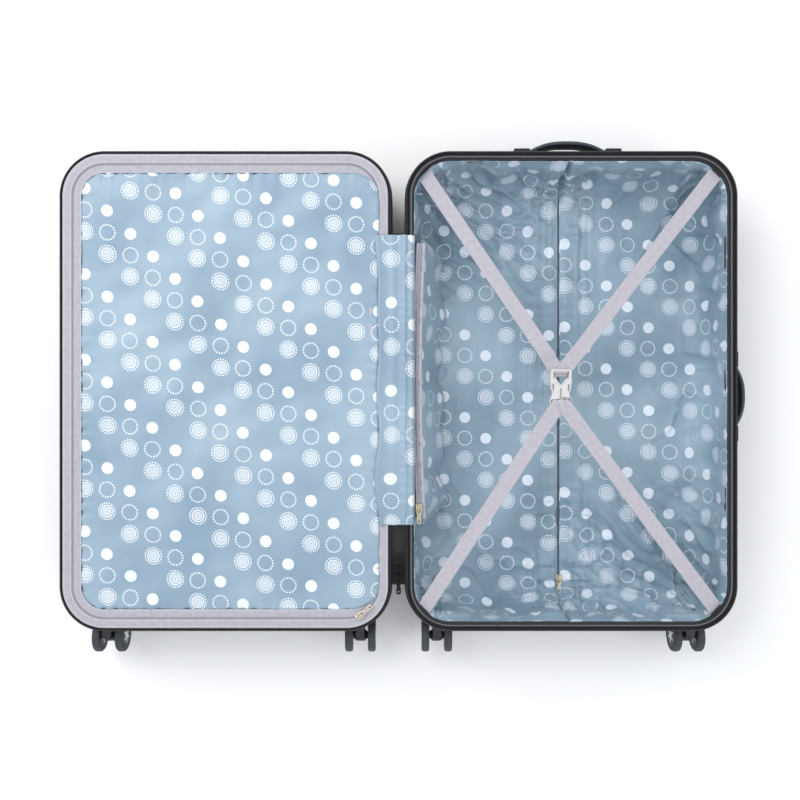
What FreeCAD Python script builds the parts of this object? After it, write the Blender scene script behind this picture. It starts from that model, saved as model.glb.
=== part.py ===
import FreeCAD, Part
import os
import re

import Sketcher

# A hard shell suitcase lying open on its back: the base half on the +X side, the lid half on
# the -X side, the wheels at the -Y end. The origin is the middle of the base's back face.

V = FreeCAD.Vector

# Driving dimensions in millimetres. Each becomes one named cell of the spreadsheet.
SIZES = {
    # case halves
    "case_width": 450, "case_height": 650, "half_depth": 130, "corner_radius": 62,
    "back_radius": 38, "shell_wall": 3, "shell_lip": 12, "hinge_gap": 17, "rim_clearance": 0.3,
    "groove_radius": 4, "groove_depth": 1.6, "groove_pitch": 26,
    # clearances
    "soft_gap": 0.3, "run_gap": 0.1,
    # rim trim and lining
    "tape_wall": 1.2, "coil_wide": 3, "coil_high": 3.7, "tape_high": 20,
    "binding_wide": 5, "binding_high": 23, "binding_drop": 3, "cloth": 1.2, "lining_slack": 5,
    # divider and its zip
    "zip_inset": 19, "zip_gap": 0.4, "zip_tape_wide": 12, "divider_coil_wide": 1.0, "divider_coil_high": 1.3,
    "divider_cloth": 1.4,
    # straps and buckle
    "strap_wide": 20, "strap_thick": 1.5, "strap_drop": 18, "anchor_thick": 3,
    "buckle_wide": 29, "buckle_long": 49, "buckle_thick": 11, "buckle_x": -12, "buckle_y": 5.7,
    # telescopic handle
    "tube_wide": 22, "tube_high": 18, "tube_wall": 1.2, "tube_spacing": 150,
    "stage_length": 300, "bezel_wide": 200,
    "grip_thick": 16, "finger_gap": 11, "button_long": 34, "button_thick": 10,
    "button_deep": 5, "bracket_long": 14,
    # carry handles
    "top_handle_long": 134, "side_handle_long": 110, "handle_wide": 28, "handle_thick": 7.7,
    "handle_peak": 22.7, "handle_level": 85, "side_handle_y": -7,
    "mount_long": 22, "mount_high": 10, "mount_wall": 4,
    # casters
    "caster_inboard": 46, "caster_level": 62, "wheel_radius": 23.5, "tyre_wide": 10.5,
    "wheel_gap": 22, "hub_radius": 17.5, "axle_drop": 24.5, "caster_trail": 12, "fork_wide": 12,
    "housing_radius": 41.5, "well_radius": 38, "well_depth": 9, "housing_roof": 9,
    "stem_radius": 5, "axle_radius": 2.5, "boss_radius": 8.6, "plate_radius": 14,
    "screw_radius": 1.6, "screw_head": 3.4, "screw_ring": 22,
    # zips, hinge strip, flap, pocket
    "slider_wide": 9, "slider_long": 11, "pull_long": 22, "pull_wide": 7,
    "floor_zip_wide": 24, "pocket_zip_inset": 19,
    "hinge_strip_low": -262, "hinge_strip_high": 214, "flap_low": -180, "flap_high": 210,
    "flap_over_lid": 27, "flap_over_base": 21, "pocket_drop": 75, "pocket_flare": 30,
    "pocket_slider_y": -158, "main_slider_y": -240, "foot_x": 10, "foot_long": 24,
}

# Places worked out from the driving dimensions, each a formula that may use the others.
PLACES = {
    "lid_x": "-(case_width + hinge_gap)",
    "hinge_x": "-(case_width + hinge_gap) / 2",
    "side_x": "case_width / 2",
    "end_y": "case_height / 2",
    "rim_z": "half_depth - rim_clearance",
    "shell_top": "half_depth - shell_lip",
    "tape_top": "rim_z - coil_high",
    "coil_inset": "shell_wall + tape_wall - coil_wide",
    "binding_inset": "shell_wall + tape_wall",
    "rim_inset": "binding_inset + binding_wide",
    "binding_top": "half_depth - binding_drop",
    "binding_low": "binding_top - binding_high",
    "inner_back_radius": "back_radius - shell_wall",
    "tube_low": "shell_wall + 2 * run_gap",
    "base_floor": "tube_low + tube_high + lining_slack - 2 * run_gap",
    "base_lining_inset": "back_radius - sqrt(inner_back_radius ^ 2 - (back_radius - base_floor) ^ 2)"
                         " + 3 * soft_gap",
    "lid_floor": "shell_wall + soft_gap",
    "lid_lining_inset": "shell_wall + soft_gap",
    # casters
    "caster_x": "side_x - caster_inboard",
    "housing_top": "-end_y + well_depth + housing_roof",
    "well_top": "-end_y + well_depth",
    "axle_y": "-end_y - axle_drop",
    "axle_z": "caster_level - caster_trail",
    "screw_end": "housing_top + 2",
    "lining_well": "screw_end + soft_gap",
    # divider
    "divider_outer": "zip_inset + zip_gap",
    "divider_edge": "divider_outer + divider_coil_wide",
    "divider_low": "binding_top + 0.1",
    "divider_top": "divider_low + 1",
    "panel_inset": "zip_inset + zip_tape_wide",
    # telescopic handle
    "tube_x": "tube_spacing / 2",
    "tube_middle_z": "tube_low + tube_high / 2",
    "bezel_inner": "end_y - back_radius",
    "bracket_low": "-end_y + back_radius",
    "bracket_high": "bracket_low + bracket_long",
    "grip_low": "end_y + finger_gap",
    "grip_top": "grip_low + grip_thick",
    "inner_top": "grip_low + 4",
    "middle_wide": "tube_wide - 2 * tube_wall - 2 * run_gap",
    "middle_high": "tube_high - 2 * tube_wall - 2 * run_gap",
    "inner_wide": "middle_wide - 2 * tube_wall - 2 * run_gap",
    "inner_high": "middle_high - 2 * tube_wall - 2 * run_gap",
    # straps and buckle
    "strap_z": "half_depth - strap_drop + 2.3",
    "buckle_z": "half_depth - strap_drop",
    "buckle_top": "buckle_y + buckle_long / 2",
    "buckle_low": "buckle_y - buckle_long / 2",
    "inner_corner": "corner_radius - rim_inset",
    "corner_x": "side_x - corner_radius",
    "corner_y": "end_y - corner_radius",
    "anchor_reach": "sqrt(inner_corner ^ 2 - (strap_wide / 2 + 3) ^ 2) - soft_gap",
    "strap_reach": "anchor_reach - anchor_thick - 2.8",
    # zips on the base
    "floor_zip_z": "base_floor + cloth",
    "pocket_x": "-side_x + rim_inset + soft_gap",
    "pocket_zip_x": "-side_x + pocket_zip_inset",
    "pocket_zip_z": "half_depth - 10.4",
    "floor_zip_end": "end_y - 25",
    "floor_slider_y": "-end_y + 53",
}

doc = FreeCAD.newDocument("suitcase")
dims = doc.addObject("Spreadsheet::Sheet", "dims")
for row, (alias, size) in enumerate(SIZES.items(), start=1):
    dims.set("A%d" % row, alias)
    dims.set("B%d" % row, str(size))
    dims.setAlias("B%d" % row, alias)
doc.recompute()

nodes = {}


def expand(text):
    """Return a formula with every place worked out down to cells of the spreadsheet."""
    def swap(match):
        word = match.group()
        if word in SIZES:
            return "dims." + word
        if word in PLACES:
            return "(" + expand(PLACES[word]) + ")"
        return word
    return re.sub(r"[a-z_][a-z_0-9]*", swap, str(text))


def number(text):
    """Return the present value of a formula, in millimetres."""
    return float(dims.evalExpression(expand(text)))


def bind(item, target, text):
    """Tie one property of an object to a formula."""
    item.setExpression(target, expand(text))


def place(item, x=None, y=None, z=None):
    """Tie the position of an object to formulas."""
    for side, text in (("x", x), ("y", y), ("z", z)):
        if text is not None:
            bind(item, "Placement.Base." + side, text)
    return item


def block(name, low, high):
    """Make a box between two corners given as formulas."""
    item = doc.addObject("Part::Box", name)
    place(item, *low)
    for edge, start, end in zip(("Length", "Width", "Height"), low, high):
        bind(item, edge, "(%s) - (%s)" % (end, start))
    return item


TURNS = {
    "x": FreeCAD.Rotation(V(0, 1, 0), 90),
    "y": FreeCAD.Rotation(V(1, 0, 0), -90),
    "z": FreeCAD.Rotation(),
}


def rod(name, along, start, length, radius):
    """Make a cylinder from its start point along one axis."""
    item = doc.addObject("Part::Cylinder", name)
    item.Placement = FreeCAD.Placement(V(), TURNS[along])
    place(item, *start)
    bind(item, "Height", length)
    bind(item, "Radius", radius)
    return item


def cone(name, along, start, length, first_radius, last_radius):
    """Make a truncated cone from its start point along one axis."""
    item = doc.addObject("Part::Cone", name)
    item.Placement = FreeCAD.Placement(V(), TURNS[along])
    place(item, *start)
    bind(item, "Height", length)
    bind(item, "Radius1", first_radius)
    bind(item, "Radius2", last_radius)
    return item


def fuse(name, items):
    """Join solids into one."""
    item = doc.addObject("Part::MultiFuse", name)
    item.Shapes = items
    return item


def cut(name, base, tools):
    """Cut several tools out of a base."""
    item = doc.addObject("Part::Cut", name)
    item.Base = base
    item.Tool = tools[0] if len(tools) == 1 else fuse(name + "_tools", tools)
    return item


def common(name, first, second):
    """Keep what two solids share."""
    item = doc.addObject("Part::Common", name)
    item.Base = first
    item.Tool = second
    return item


def group(name, items):
    """Hold several separate solids together as one sub-part."""
    item = doc.addObject("Part::Compound", name)
    item.Links = items
    return item


def node(label, item):
    """Name a finished sub-part, which also names its file."""
    item.Label = label
    nodes[label] = item
    return item


def round_rectangle(sketch, tag, width, height, radius):
    """Draw a centred rectangle with round corners, held by constraints with formulas."""
    w, h, r = number(width) / 2, number(height) / 2, number(radius)
    first = sketch.GeometryCount
    corners = ((w - r, -h + r, -90), (w - r, h - r, 0), (-w + r, h - r, 90), (-w + r, -h + r, 180))
    starts = (V(-w + r, -h, 0), V(w, -h + r, 0), V(w - r, h, 0), V(-w, h - r, 0))
    ends = (V(w - r, -h, 0), V(w, h - r, 0), V(-w + r, h, 0), V(-w, -h + r, 0))
    for (cx, cy, turn), start, end in zip(corners, starts, ends):
        sketch.addGeometry(Part.LineSegment(start, end), False)
        circle = Part.Circle(V(cx, cy, 0), V(0, 0, 1), r)
        low, high = FreeCAD.Units.Quantity("%d deg" % turn), FreeCAD.Units.Quantity("90 deg")
        low = low.getValueAs("rad").Value
        sketch.addGeometry(Part.ArcOfCircle(circle, low, low + high.getValueAs("rad").Value), False)
    for side in range(4):
        line, arc, following = first + 2 * side, first + 2 * side + 1, first + (2 * side + 2) % 8
        sketch.addConstraint(Sketcher.Constraint("Tangent", line, 2, arc, 1))
        sketch.addConstraint(Sketcher.Constraint("Tangent", arc, 2, following, 1))
        direction = "Horizontal" if side % 2 == 0 else "Vertical"
        sketch.addConstraint(Sketcher.Constraint(direction, line))
        if side:
            sketch.addConstraint(Sketcher.Constraint("Equal", first + 1, arc))
    sketch.addConstraint(Sketcher.Constraint("Symmetric", first, 1, first + 4, 1, -1, 1))
    sizes = (
        ("width", width, Sketcher.Constraint("DistanceX", first + 6, 1, first + 2, 1, 2 * w)),
        ("height", height, Sketcher.Constraint("DistanceY", first, 1, first + 4, 1, 2 * h)),
        ("radius", radius, Sketcher.Constraint("Radius", first + 1, r)),
    )
    for kind, text, constraint in sizes:
        index = sketch.addConstraint(constraint)
        sketch.renameConstraint(index, tag + "_" + kind)
        bind(sketch, "Constraints." + tag + "_" + kind, text)


def case_outline(inset):
    """Return the width, height and corner radius of the case outline moved inwards."""
    return ("case_width - 2 * (%s)" % inset, "case_height - 2 * (%s)" % inset,
            "corner_radius - (%s)" % inset)


def pad(name, outlines, low, high):
    """Make a body: round rectangles, the second inside the first, padded between two heights."""
    body = doc.addObject("PartDesign::Body", name)
    sketch = body.newObject("Sketcher::SketchObject", name + "_outline")
    planes = {plane.Role: plane for plane in body.Origin.OriginFeatures}
    sketch.AttachmentSupport = [(planes["XY_Plane"], "")]
    sketch.MapMode = "FlatFace"
    bind(sketch, "AttachmentOffset.Base.z", low)
    for count, (width, height, radius) in enumerate(outlines):
        round_rectangle(sketch, "outline%d" % count, width, height, radius)
    feature = body.newObject("PartDesign::Pad", name + "_pad")
    feature.Profile = sketch
    bind(feature, "Length", "(%s) - (%s)" % (high, low))
    return body


def round_over(body, radius, chosen):
    """Fillet the edges of a body that a test on the edge picks out."""
    doc.recompute()
    base = body.Tip
    picked = []
    for index, edge in enumerate(base.Shape.Edges, start=1):
        if chosen(edge):
            picked.append("Edge%d" % index)
    feature = body.newObject("PartDesign::Fillet", body.Name + "_round")
    feature.Base = (base, picked)
    bind(feature, "Radius", radius)
    return body


def at_height(height):
    """Return a test for edges that lie wholly at one height."""
    level = number(height)

    def test(edge):
        box = edge.BoundBox
        return abs(box.ZMin - level) < 0.01 and abs(box.ZMax - level) < 0.01
    return test


def ring(name, centre_x, outer_inset, inner_inset, low, high):
    """Make a flat band that follows the case outline between two insets."""
    body = pad(name, (case_outline(outer_inset), case_outline(inner_inset)), low, high)
    return place(body, x=centre_x)


def dish(name, centre_x, inset, low, high, radius):
    """Make a solid block of the case outline with its bottom edge rounded."""
    body = round_over(pad(name, (case_outline(inset),), low, high), radius, at_height(low))
    return place(body, x=centre_x)


HALVES = {"base": "0", "lid": "lid_x"}
SIDES = {"left": "-1", "right": "1"}


def caster_axis(centre_x, side):
    """Return the X of one caster's upright axis."""
    return "%s + (%s) * caster_x" % (centre_x, side)


def make_lining(half, centre_x, inset, floor, radius):
    """Make the thin fabric tub inside one half, with a bump over each caster housing."""
    outer = dish(half + "_lining_block", centre_x, inset, floor, "binding_low", radius)
    hollow = dish(half + "_lining_hollow", centre_x, "(%s) + cloth" % inset, "(%s) + cloth" % floor,
                  "half_depth", "(%s) - cloth" % radius)
    wells, covers = [], []
    for side, sign in SIDES.items():
        start = (caster_axis(centre_x, sign), "-end_y - 1", "caster_level")
        tag = half + "_" + side
        wells.append(rod(tag + "_well", "y", start, "lining_well + end_y + 1",
                         "housing_radius + soft_gap"))
        covers.append(rod(tag + "_cover", "y", start, "lining_well + end_y + 1 + cloth",
                          "housing_radius + soft_gap + cloth"))
    cloth = cut(half + "_lining_cloth", outer, [cut(half + "_lining_void", hollow, covers)])
    node(half + "_lining", cut(half + "_lining_shape", cloth, wells))


def make_caster_housing(half, side, envelope, centre_x):
    """Make the moulded cup in one bottom corner, its screws and the hole it needs in the shell."""
    tag = half + "_" + side
    axis_x = caster_axis(centre_x, SIDES[side])
    outside = (axis_x, "-end_y - 1", "caster_level")
    hole = rod(tag + "_housing_hole", "y", outside, "housing_top + end_y + 1", "housing_radius")
    cup = common(tag + "_cup", envelope, hole)
    recess = rod(tag + "_recess", "y", outside, "well_depth + 1", "well_radius")
    bore = rod(tag + "_stem_bore", "y", outside, "well_depth + housing_roof + 2",
               "stem_radius + run_gap")
    screws = []
    for count, (across, up) in enumerate((("-0.866", "-0.5"), ("0.866", "-0.5"), ("0", "1"))):
        start_x = "%s + (%s) * screw_ring" % (axis_x, across)
        start_z = "caster_level + (%s) * screw_ring" % up
        shank = rod("%s_shank%d" % (tag, count), "y", (start_x, "well_top + 2", start_z),
                    "housing_top - well_top - 2", "screw_radius")
        head = rod("%s_head%d" % (tag, count), "y", (start_x, "housing_top", start_z),
                   "screw_end - (housing_top)", "screw_head")
        screws.append(fuse("%s_screw%d" % (tag, count), [shank, head]))
    node(tag + "_caster_housing", cut(tag + "_housing_shape", cup, [recess, bore] + screws))
    return hole, screws


def make_grooves(half, centre_x):
    """Return the shallow flutes that run up the back of one half."""
    grooves = []
    for count in range(7):
        for side, sign in SIDES.items():
            x = "%s + (%s) * groove_pitch * %.1f" % (centre_x, sign, count + 0.5)
            start = (x, "-end_y - 1", "groove_depth - groove_radius")
            grooves.append(rod("%s_groove_%s%d" % (half, side, count), "y", start,
                               "case_height + 2", "groove_radius"))
    return grooves


def make_half(half, centre_x, extra_cuts):
    """Make the shell, rim trim, lining and caster housings of one half."""
    envelope = dish(half + "_envelope", centre_x, "0", "0", "shell_top", "back_radius")
    hollow = dish(half + "_hollow", centre_x, "shell_wall", "shell_wall", "half_depth",
                  "inner_back_radius")
    tools, screws = [hollow] + make_grooves(half, centre_x) + extra_cuts, []
    for side in SIDES:
        hole, corner_screws = make_caster_housing(half, side, envelope, centre_x)
        tools.append(hole)
        screws.extend(corner_screws)
    node(half + "_shell", cut(half + "_shell_shape", envelope, tools))
    node(half + "_caster_screws", group(half + "_caster_screw_set", screws))
    tape = ring(half + "_zip_tape", centre_x, "shell_wall", "binding_inset",
                "tape_top - tape_high", "tape_top")
    coil = ring(half + "_zip_coil", centre_x, "coil_inset", "binding_inset", "tape_top", "rim_z")
    node(half + "_zip_chain", group(half + "_zip_chain_pair", [tape, coil]))
    node(half + "_rim_binding", ring(half + "_binding_body", centre_x, "binding_inset", "rim_inset",
                                     "binding_low", "binding_top"))
    return envelope


def make_caster(half, side, centre_x):
    """Make one twin-wheel caster: fork with its stem, axle, two hubs and two tyres."""
    tag = half + "_" + side
    x = caster_axis(centre_x, SIDES[side])
    stem = rod(tag + "_stem", "y", (x, "well_top - 3", "caster_level"), "housing_roof + 3",
               "stem_radius")
    plate = rod(tag + "_plate", "y", (x, "well_top - 3.3", "caster_level"), "3", "plate_radius")
    web = block(tag + "_web", (x + " - fork_wide / 2", "axle_y", "axle_z - boss_radius"),
                (x + " + fork_wide / 2", "well_top - 3", "caster_level + plate_radius - 4"))
    eye = rod(tag + "_eye", "x", (x + " - fork_wide / 2", "axle_y", "axle_z"), "fork_wide",
              "boss_radius")
    boss_long = "wheel_gap / 2 - soft_gap - fork_wide / 2"
    right = cone(tag + "_right_boss", "x", (x + " + fork_wide / 2", "axle_y", "axle_z"), boss_long,
                 "boss_radius - 1", "axle_radius + 2")
    left = cone(tag + "_left_boss", "x", (x + " - wheel_gap / 2 + soft_gap", "axle_y", "axle_z"),
                boss_long, "axle_radius + 2", "boss_radius - 1")
    bore = rod(tag + "_axle_bore", "x", (x + " - wheel_gap / 2", "axle_y", "axle_z"), "wheel_gap",
               "axle_radius + run_gap / 2")
    body = fuse(tag + "_fork_body", [stem, plate, web, eye, right, left])
    node(tag + "_caster_fork", cut(tag + "_fork_shape", body, [bore]))
    reach = "wheel_gap / 2 + tyre_wide - 1.5"
    axle = rod(tag + "_axle_shape", "x", ("%s - (%s)" % (x, reach), "axle_y", "axle_z"),
               "2 * (%s)" % reach, "axle_radius")
    tyres, hubs = [], []
    for hand, offset in (("inner", "-wheel_gap / 2 - tyre_wide"), ("outer", "wheel_gap / 2")):
        name = tag + "_" + hand
        start = ("%s + (%s)" % (x, offset), "axle_y", "axle_z")
        disc = rod(name + "_disc", "x", start, "tyre_wide", "wheel_radius")
        seat = rod(name + "_seat", "x", start, "tyre_wide", "hub_radius")
        tyres.append(cut(name + "_tyre", disc, [seat]))
        centre = rod(name + "_centre", "x", start, "tyre_wide", "hub_radius")
        hubs.append(cut(name + "_hub", centre, [axle]))
    node(tag + "_caster_tyres", group(tag + "_tyre_pair", tyres))
    node(tag + "_caster_hubs_and_axle", group(tag + "_hub_set", hubs + [axle]))


def make_zip_slider(tag, position, angle):
    """Make a zip slider with its bridge, name its pull tab and return the slider.

    Both are drawn at the origin with the pull along +Y, then turned about Z and moved.
    """
    half_wide, half_long = "slider_wide / 2", "slider_long / 2"
    floor = block(tag + "_floor", ("-" + half_wide, "-" + half_long, "0"), (half_wide, half_long, "3"))
    bar = block(tag + "_bar", ("-1.2", "-4.8", "5.2"), ("1.2", "4.8", "6.2"))
    posts = []
    for count, sign in enumerate(("-1", "1")):
        middle = "(%s) * 4.1" % sign
        posts.append(block("%s_post%d" % (tag, count), ("-1.2", middle + " - 0.7", "2.5"),
                           ("1.2", middle + " + 0.7", "5.5")))
    slider = fuse(tag + "_slider_shape", [floor, bar] + posts)
    tab = block(tag + "_tab", ("-pull_wide / 2", "-0.6", "3.4"), ("pull_wide / 2", "pull_long", "4.8"))
    window = block(tag + "_window", ("-1.8", "0.6", "3"), ("1.8", "6.2", "5"))
    pull = cut(tag + "_pull_shape", tab, [window])
    for item in (slider, pull):
        item.Placement = FreeCAD.Placement(V(), FreeCAD.Rotation(V(0, 0, 1), angle))
        place(item, *position)
    node(tag + "_pull", pull)
    return slider


def make_carry_handle(tag, length, turn, x, y):
    """Make one carry handle and its two mounts, drawn pointing +Y from the wall at Y = 0."""
    foot = "-shell_wall - 1.4"
    deep = "2 * (handle_peak + shell_wall + 1.4)"
    inner = "2 * (handle_peak + shell_wall + 1.4 - handle_thick)"
    outlines = ((length, deep, "14"), (length + " - 2 * handle_thick", inner, "7"))
    low, high = "-handle_wide / 2", "handle_wide / 2"
    loop = pad(tag + "_loop", outlines, low, high)
    levels = (at_height(low), at_height(high))
    round_over(loop, "2.4", lambda edge: levels[0](edge) or levels[1](edge))
    place(loop, y=foot)
    lower = block(tag + "_lower", ("-" + length, "-100", "-50"), (length, foot, "50"))
    handle = cut(tag + "_shape", loop, [lower])
    mounts, holes = [], []
    for side, sign in SIDES.items():
        centre = "(%s) * (%s - handle_thick) / 2" % (sign, length)
        name = tag + "_" + side
        box = block(name + "_mount_box",
                    (centre + " - mount_long / 2", "-shell_wall - 2.7", low + " - mount_wall"),
                    (centre + " + mount_long / 2", "mount_high", high + " + mount_wall"))
        slot = block(name + "_slot",
                     (centre + " - handle_thick / 2 - soft_gap", foot + " - soft_gap",
                      low + " - soft_gap"),
                     (centre + " + handle_thick / 2 + soft_gap", "mount_high + 1",
                      high + " + soft_gap"))
        mounts.append(cut(name + "_mount", box, [slot]))
        hole = block(name + "_wall_hole",
                     (centre + " - mount_long / 2", "-shell_wall - 2", low + " - mount_wall"),
                     (centre + " + mount_long / 2", "1", high + " + mount_wall"))
        holes.append(hole)
    pair = group(tag + "_mount_pair", mounts)
    frame = FreeCAD.Rotation(V(0, 0, 1), turn)
    for item in (handle, pair):
        item.Placement = FreeCAD.Placement(V(), frame)
        place(item, x, y, "handle_level")
    opening = fuse(tag + "_wall_holes", holes)
    opening.Placement = FreeCAD.Placement(V(), frame)
    place(opening, x, y, "handle_level")
    node(tag, handle)
    return opening, pair


def make_trolley(envelope, opening):
    """Make the telescopic handle: fixed tubes, two sliding stages, grip, push button and bezel."""
    zones = {
        "outer": ("tube_wide", "tube_high"),
        "middle": ("middle_wide", "middle_high"),
        "inner": ("inner_wide", "inner_high"),
    }
    spans = {
        "outer": ("bracket_high", "bezel_inner"),
        "middle": ("end_y + 0.2 - stage_length", "end_y + 0.2"),
        "inner": ("inner_top - stage_length", "inner_top"),
    }

    def bar(name, sign, zone, low, high, spare):
        wide, tall = zones[zone]
        x = "(%s) * tube_x" % sign
        half_wide, half_tall = "(%s) / 2 + (%s)" % (wide, spare), "(%s) / 2 + (%s)" % (tall, spare)
        return block(name, ("%s - (%s)" % (x, half_wide), low, "tube_middle_z - (%s)" % half_tall),
                     ("%s + (%s)" % (x, half_wide), high, "tube_middle_z + (%s)" % half_tall))

    for zone, (low, high) in spans.items():
        tubes = []
        for side, sign in SIDES.items():
            name = "trolley_%s_%s" % (zone, side)
            outside = bar(name + "_out", sign, zone, low, high, "0")
            inside = bar(name + "_in", sign, zone, low + " - 1", high + " + 1", "-tube_wall")
            tubes.append(cut(name + "_tube", outside, [inside]))
        node("trolley_%s_tubes" % zone, group("trolley_%s_pair" % zone, tubes))

    brackets = []
    for side, sign in SIDES.items():
        name = "trolley_bracket_" + side
        foot = bar(name + "_foot", sign, "outer", "bracket_low", "bracket_high", "0")
        plug = bar(name + "_plug", sign, "outer", "bracket_high", "bracket_high + 8", "-tube_wall")
        brackets.append(fuse(name, [foot, plug]))
    node("trolley_foot_brackets", group("trolley_bracket_pair", brackets))

    tray = common("trolley_tray", envelope, opening)
    holes = []
    for side, sign in SIDES.items():
        holes.append(bar("trolley_hole_" + side, sign, "middle", "bezel_inner - 1", "end_y + 2",
                         "run_gap"))
    node("trolley_bezel", cut("trolley_bezel_shape", tray, holes))

    bar_low, bar_high = "tube_low", "tube_low + tube_high"
    half_span = "tube_x + tube_wide / 2"
    solid = [block("grip_bar", ("-(%s)" % half_span, "grip_low", bar_low),
                   (half_span, "grip_top", bar_high))]
    tools = []
    rods = []
    for side, sign in SIDES.items():
        solid.append(bar("grip_leg_" + side, sign, "outer", "end_y + 1.2", "grip_low + 1", "0"))
        tools.append(bar("grip_socket_" + side, sign, "inner", "end_y", "inner_top", "0"))
        start = ("(%s) * tube_x" % sign, "inner_top - stage_length + 20", "tube_middle_z")
        rods.append(rod("push_rod_" + side, "y", start, "grip_top - 8.5 - (%s)" % start[1], "2"))
        tools.append(rod("push_rod_hole_" + side, "y",
                         ("(%s) * tube_x" % sign, "end_y", "tube_middle_z"),
                         "grip_top - 8.5 - end_y", "2 + soft_gap"))
    tools.append(block("button_pocket", ("-button_long / 2 - run_gap", "grip_top - button_deep - 2.5",
                                         "tube_middle_z - button_thick / 2 - run_gap"),
                       ("button_long / 2 + run_gap", "grip_top + 1",
                        "tube_middle_z + button_thick / 2 + run_gap")))
    tools.append(block("cross_bar_room", ("-tube_x - 4", "grip_top - 11.6", "tube_middle_z - 3.3"),
                       ("tube_x + 4", "grip_top - 4.7", "tube_middle_z + 3.3")))
    node("trolley_grip", cut("trolley_grip_shape", fuse("trolley_grip_solid", solid), tools))
    cross = block("cross_bar", ("-tube_x - 3", "grip_top - 9", "tube_middle_z - 3"),
                  ("tube_x + 3", "grip_top - button_deep", "tube_middle_z + 3"))
    node("trolley_push_bar", fuse("trolley_push_bar_shape", [cross] + rods))
    node("trolley_button", block("trolley_button_shape",
                                 ("-button_long / 2", "grip_top - button_deep",
                                  "tube_middle_z - button_thick / 2"),
                                 ("button_long / 2", "grip_top + 1.5",
                                  "tube_middle_z + button_thick / 2")))


def make_divider():
    """Make the zipped divider panel over the lid, its zip tapes and its zip coil halves."""
    coil_outer, coil_inner = "zip_inset - divider_coil_wide", "zip_inset"
    coil_top = "divider_top + divider_coil_high"
    tape = ring("lid_divider_tape", "lid_x", "binding_inset + soft_gap", coil_inner, "divider_low",
                "divider_top")
    coil = ring("lid_divider_coil", "lid_x", coil_outer, coil_inner, "divider_top", coil_top)
    node("lid_divider_zip", group("lid_divider_zip_pair", [tape, coil]))
    tape = ring("divider_tape", "lid_x", "divider_outer", "panel_inset", "divider_low",
                "divider_top")
    coil = ring("divider_coil", "lid_x", "divider_outer", "divider_edge", "divider_top", coil_top)
    node("divider_zip", group("divider_zip_pair", [tape, coil]))
    panel = pad("divider_panel_body", (case_outline("panel_inset"),), "divider_low - 0.2",
                "divider_low - 0.2 + divider_cloth")
    node("divider_panel", place(panel, x="lid_x"))


def make_straps():
    """Make the four strap anchors, the two crossed straps and the side-release buckle."""
    anchors = []
    arms = {"upper": [], "lower": []}
    ends = {"upper": ("1", "buckle_top - 7 + soft_gap + strap_wide / 2"),
            "lower": ("-1", "buckle_low + 8 - soft_gap - strap_wide / 2")}
    for level, (up, bar_y) in ends.items():
        for side, sign in SIDES.items():
            name = "%s_%s" % (level, side)
            end_x = "(%s) * (corner_x + strap_reach * 0.7071)" % sign
            end_y = "(%s) * (corner_y + strap_reach * 0.7071)" % up
            run_x, run_y = "(%s - buckle_x)" % end_x, "(%s - (%s))" % (end_y, bar_y)
            anchor = doc.addObject("Part::Box", name + "_anchor")
            bind(anchor, "Length", "anchor_thick")
            bind(anchor, "Width", "strap_wide + 6")
            bind(anchor, "Height", "strap_wide - 4")
            turn = {("1", "1"): 45, ("-1", "1"): 135, ("-1", "-1"): 225, ("1", "-1"): 315}[(sign, up)]
            anchor.Placement = FreeCAD.Placement(V(), FreeCAD.Rotation(V(0, 0, 1), turn))
            outward = FreeCAD.Rotation(V(0, 0, 1), turn).multVec(V(1, 0, 0))
            across = FreeCAD.Rotation(V(0, 0, 1), turn).multVec(V(0, 1, 0))
            reach, half = "(anchor_reach - anchor_thick)", "(strap_wide / 2 + 3)"
            place(anchor,
                  "(%s) * corner_x + %s * %f - %s * %f" % (sign, reach, outward.x, half, across.x),
                  "(%s) * corner_y + %s * %f - %s * %f" % (up, reach, outward.y, half, across.y),
                  "strap_z + strap_thick / 2 - (strap_wide - 4) / 2")
            anchors.append(anchor)
            arm = doc.addObject("Part::Box", name + "_arm")
            bind(arm, "Length", "sqrt(%s ^ 2 + %s ^ 2)" % (run_x, run_y))
            bind(arm, "Width", "strap_wide")
            bind(arm, "Height", "strap_thick")
            angle = "atan2(%s; %s)" % (run_y, run_x)
            arm.Placement = FreeCAD.Placement(V(), FreeCAD.Rotation(V(0, 0, 1), 10))
            bind(arm, "Placement.Rotation.Angle", angle)
            place(arm, "buckle_x + sin(%s) * strap_wide / 2" % angle,
                  "%s - cos(%s) * strap_wide / 2" % (bar_y, angle), "strap_z")
            arms[level].append(arm)
    node("strap_anchors", group("strap_anchor_set", anchors))
    for level, pair in arms.items():
        node(level + "_strap", fuse(level + "_strap_shape", pair))
    make_buckle()


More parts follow.
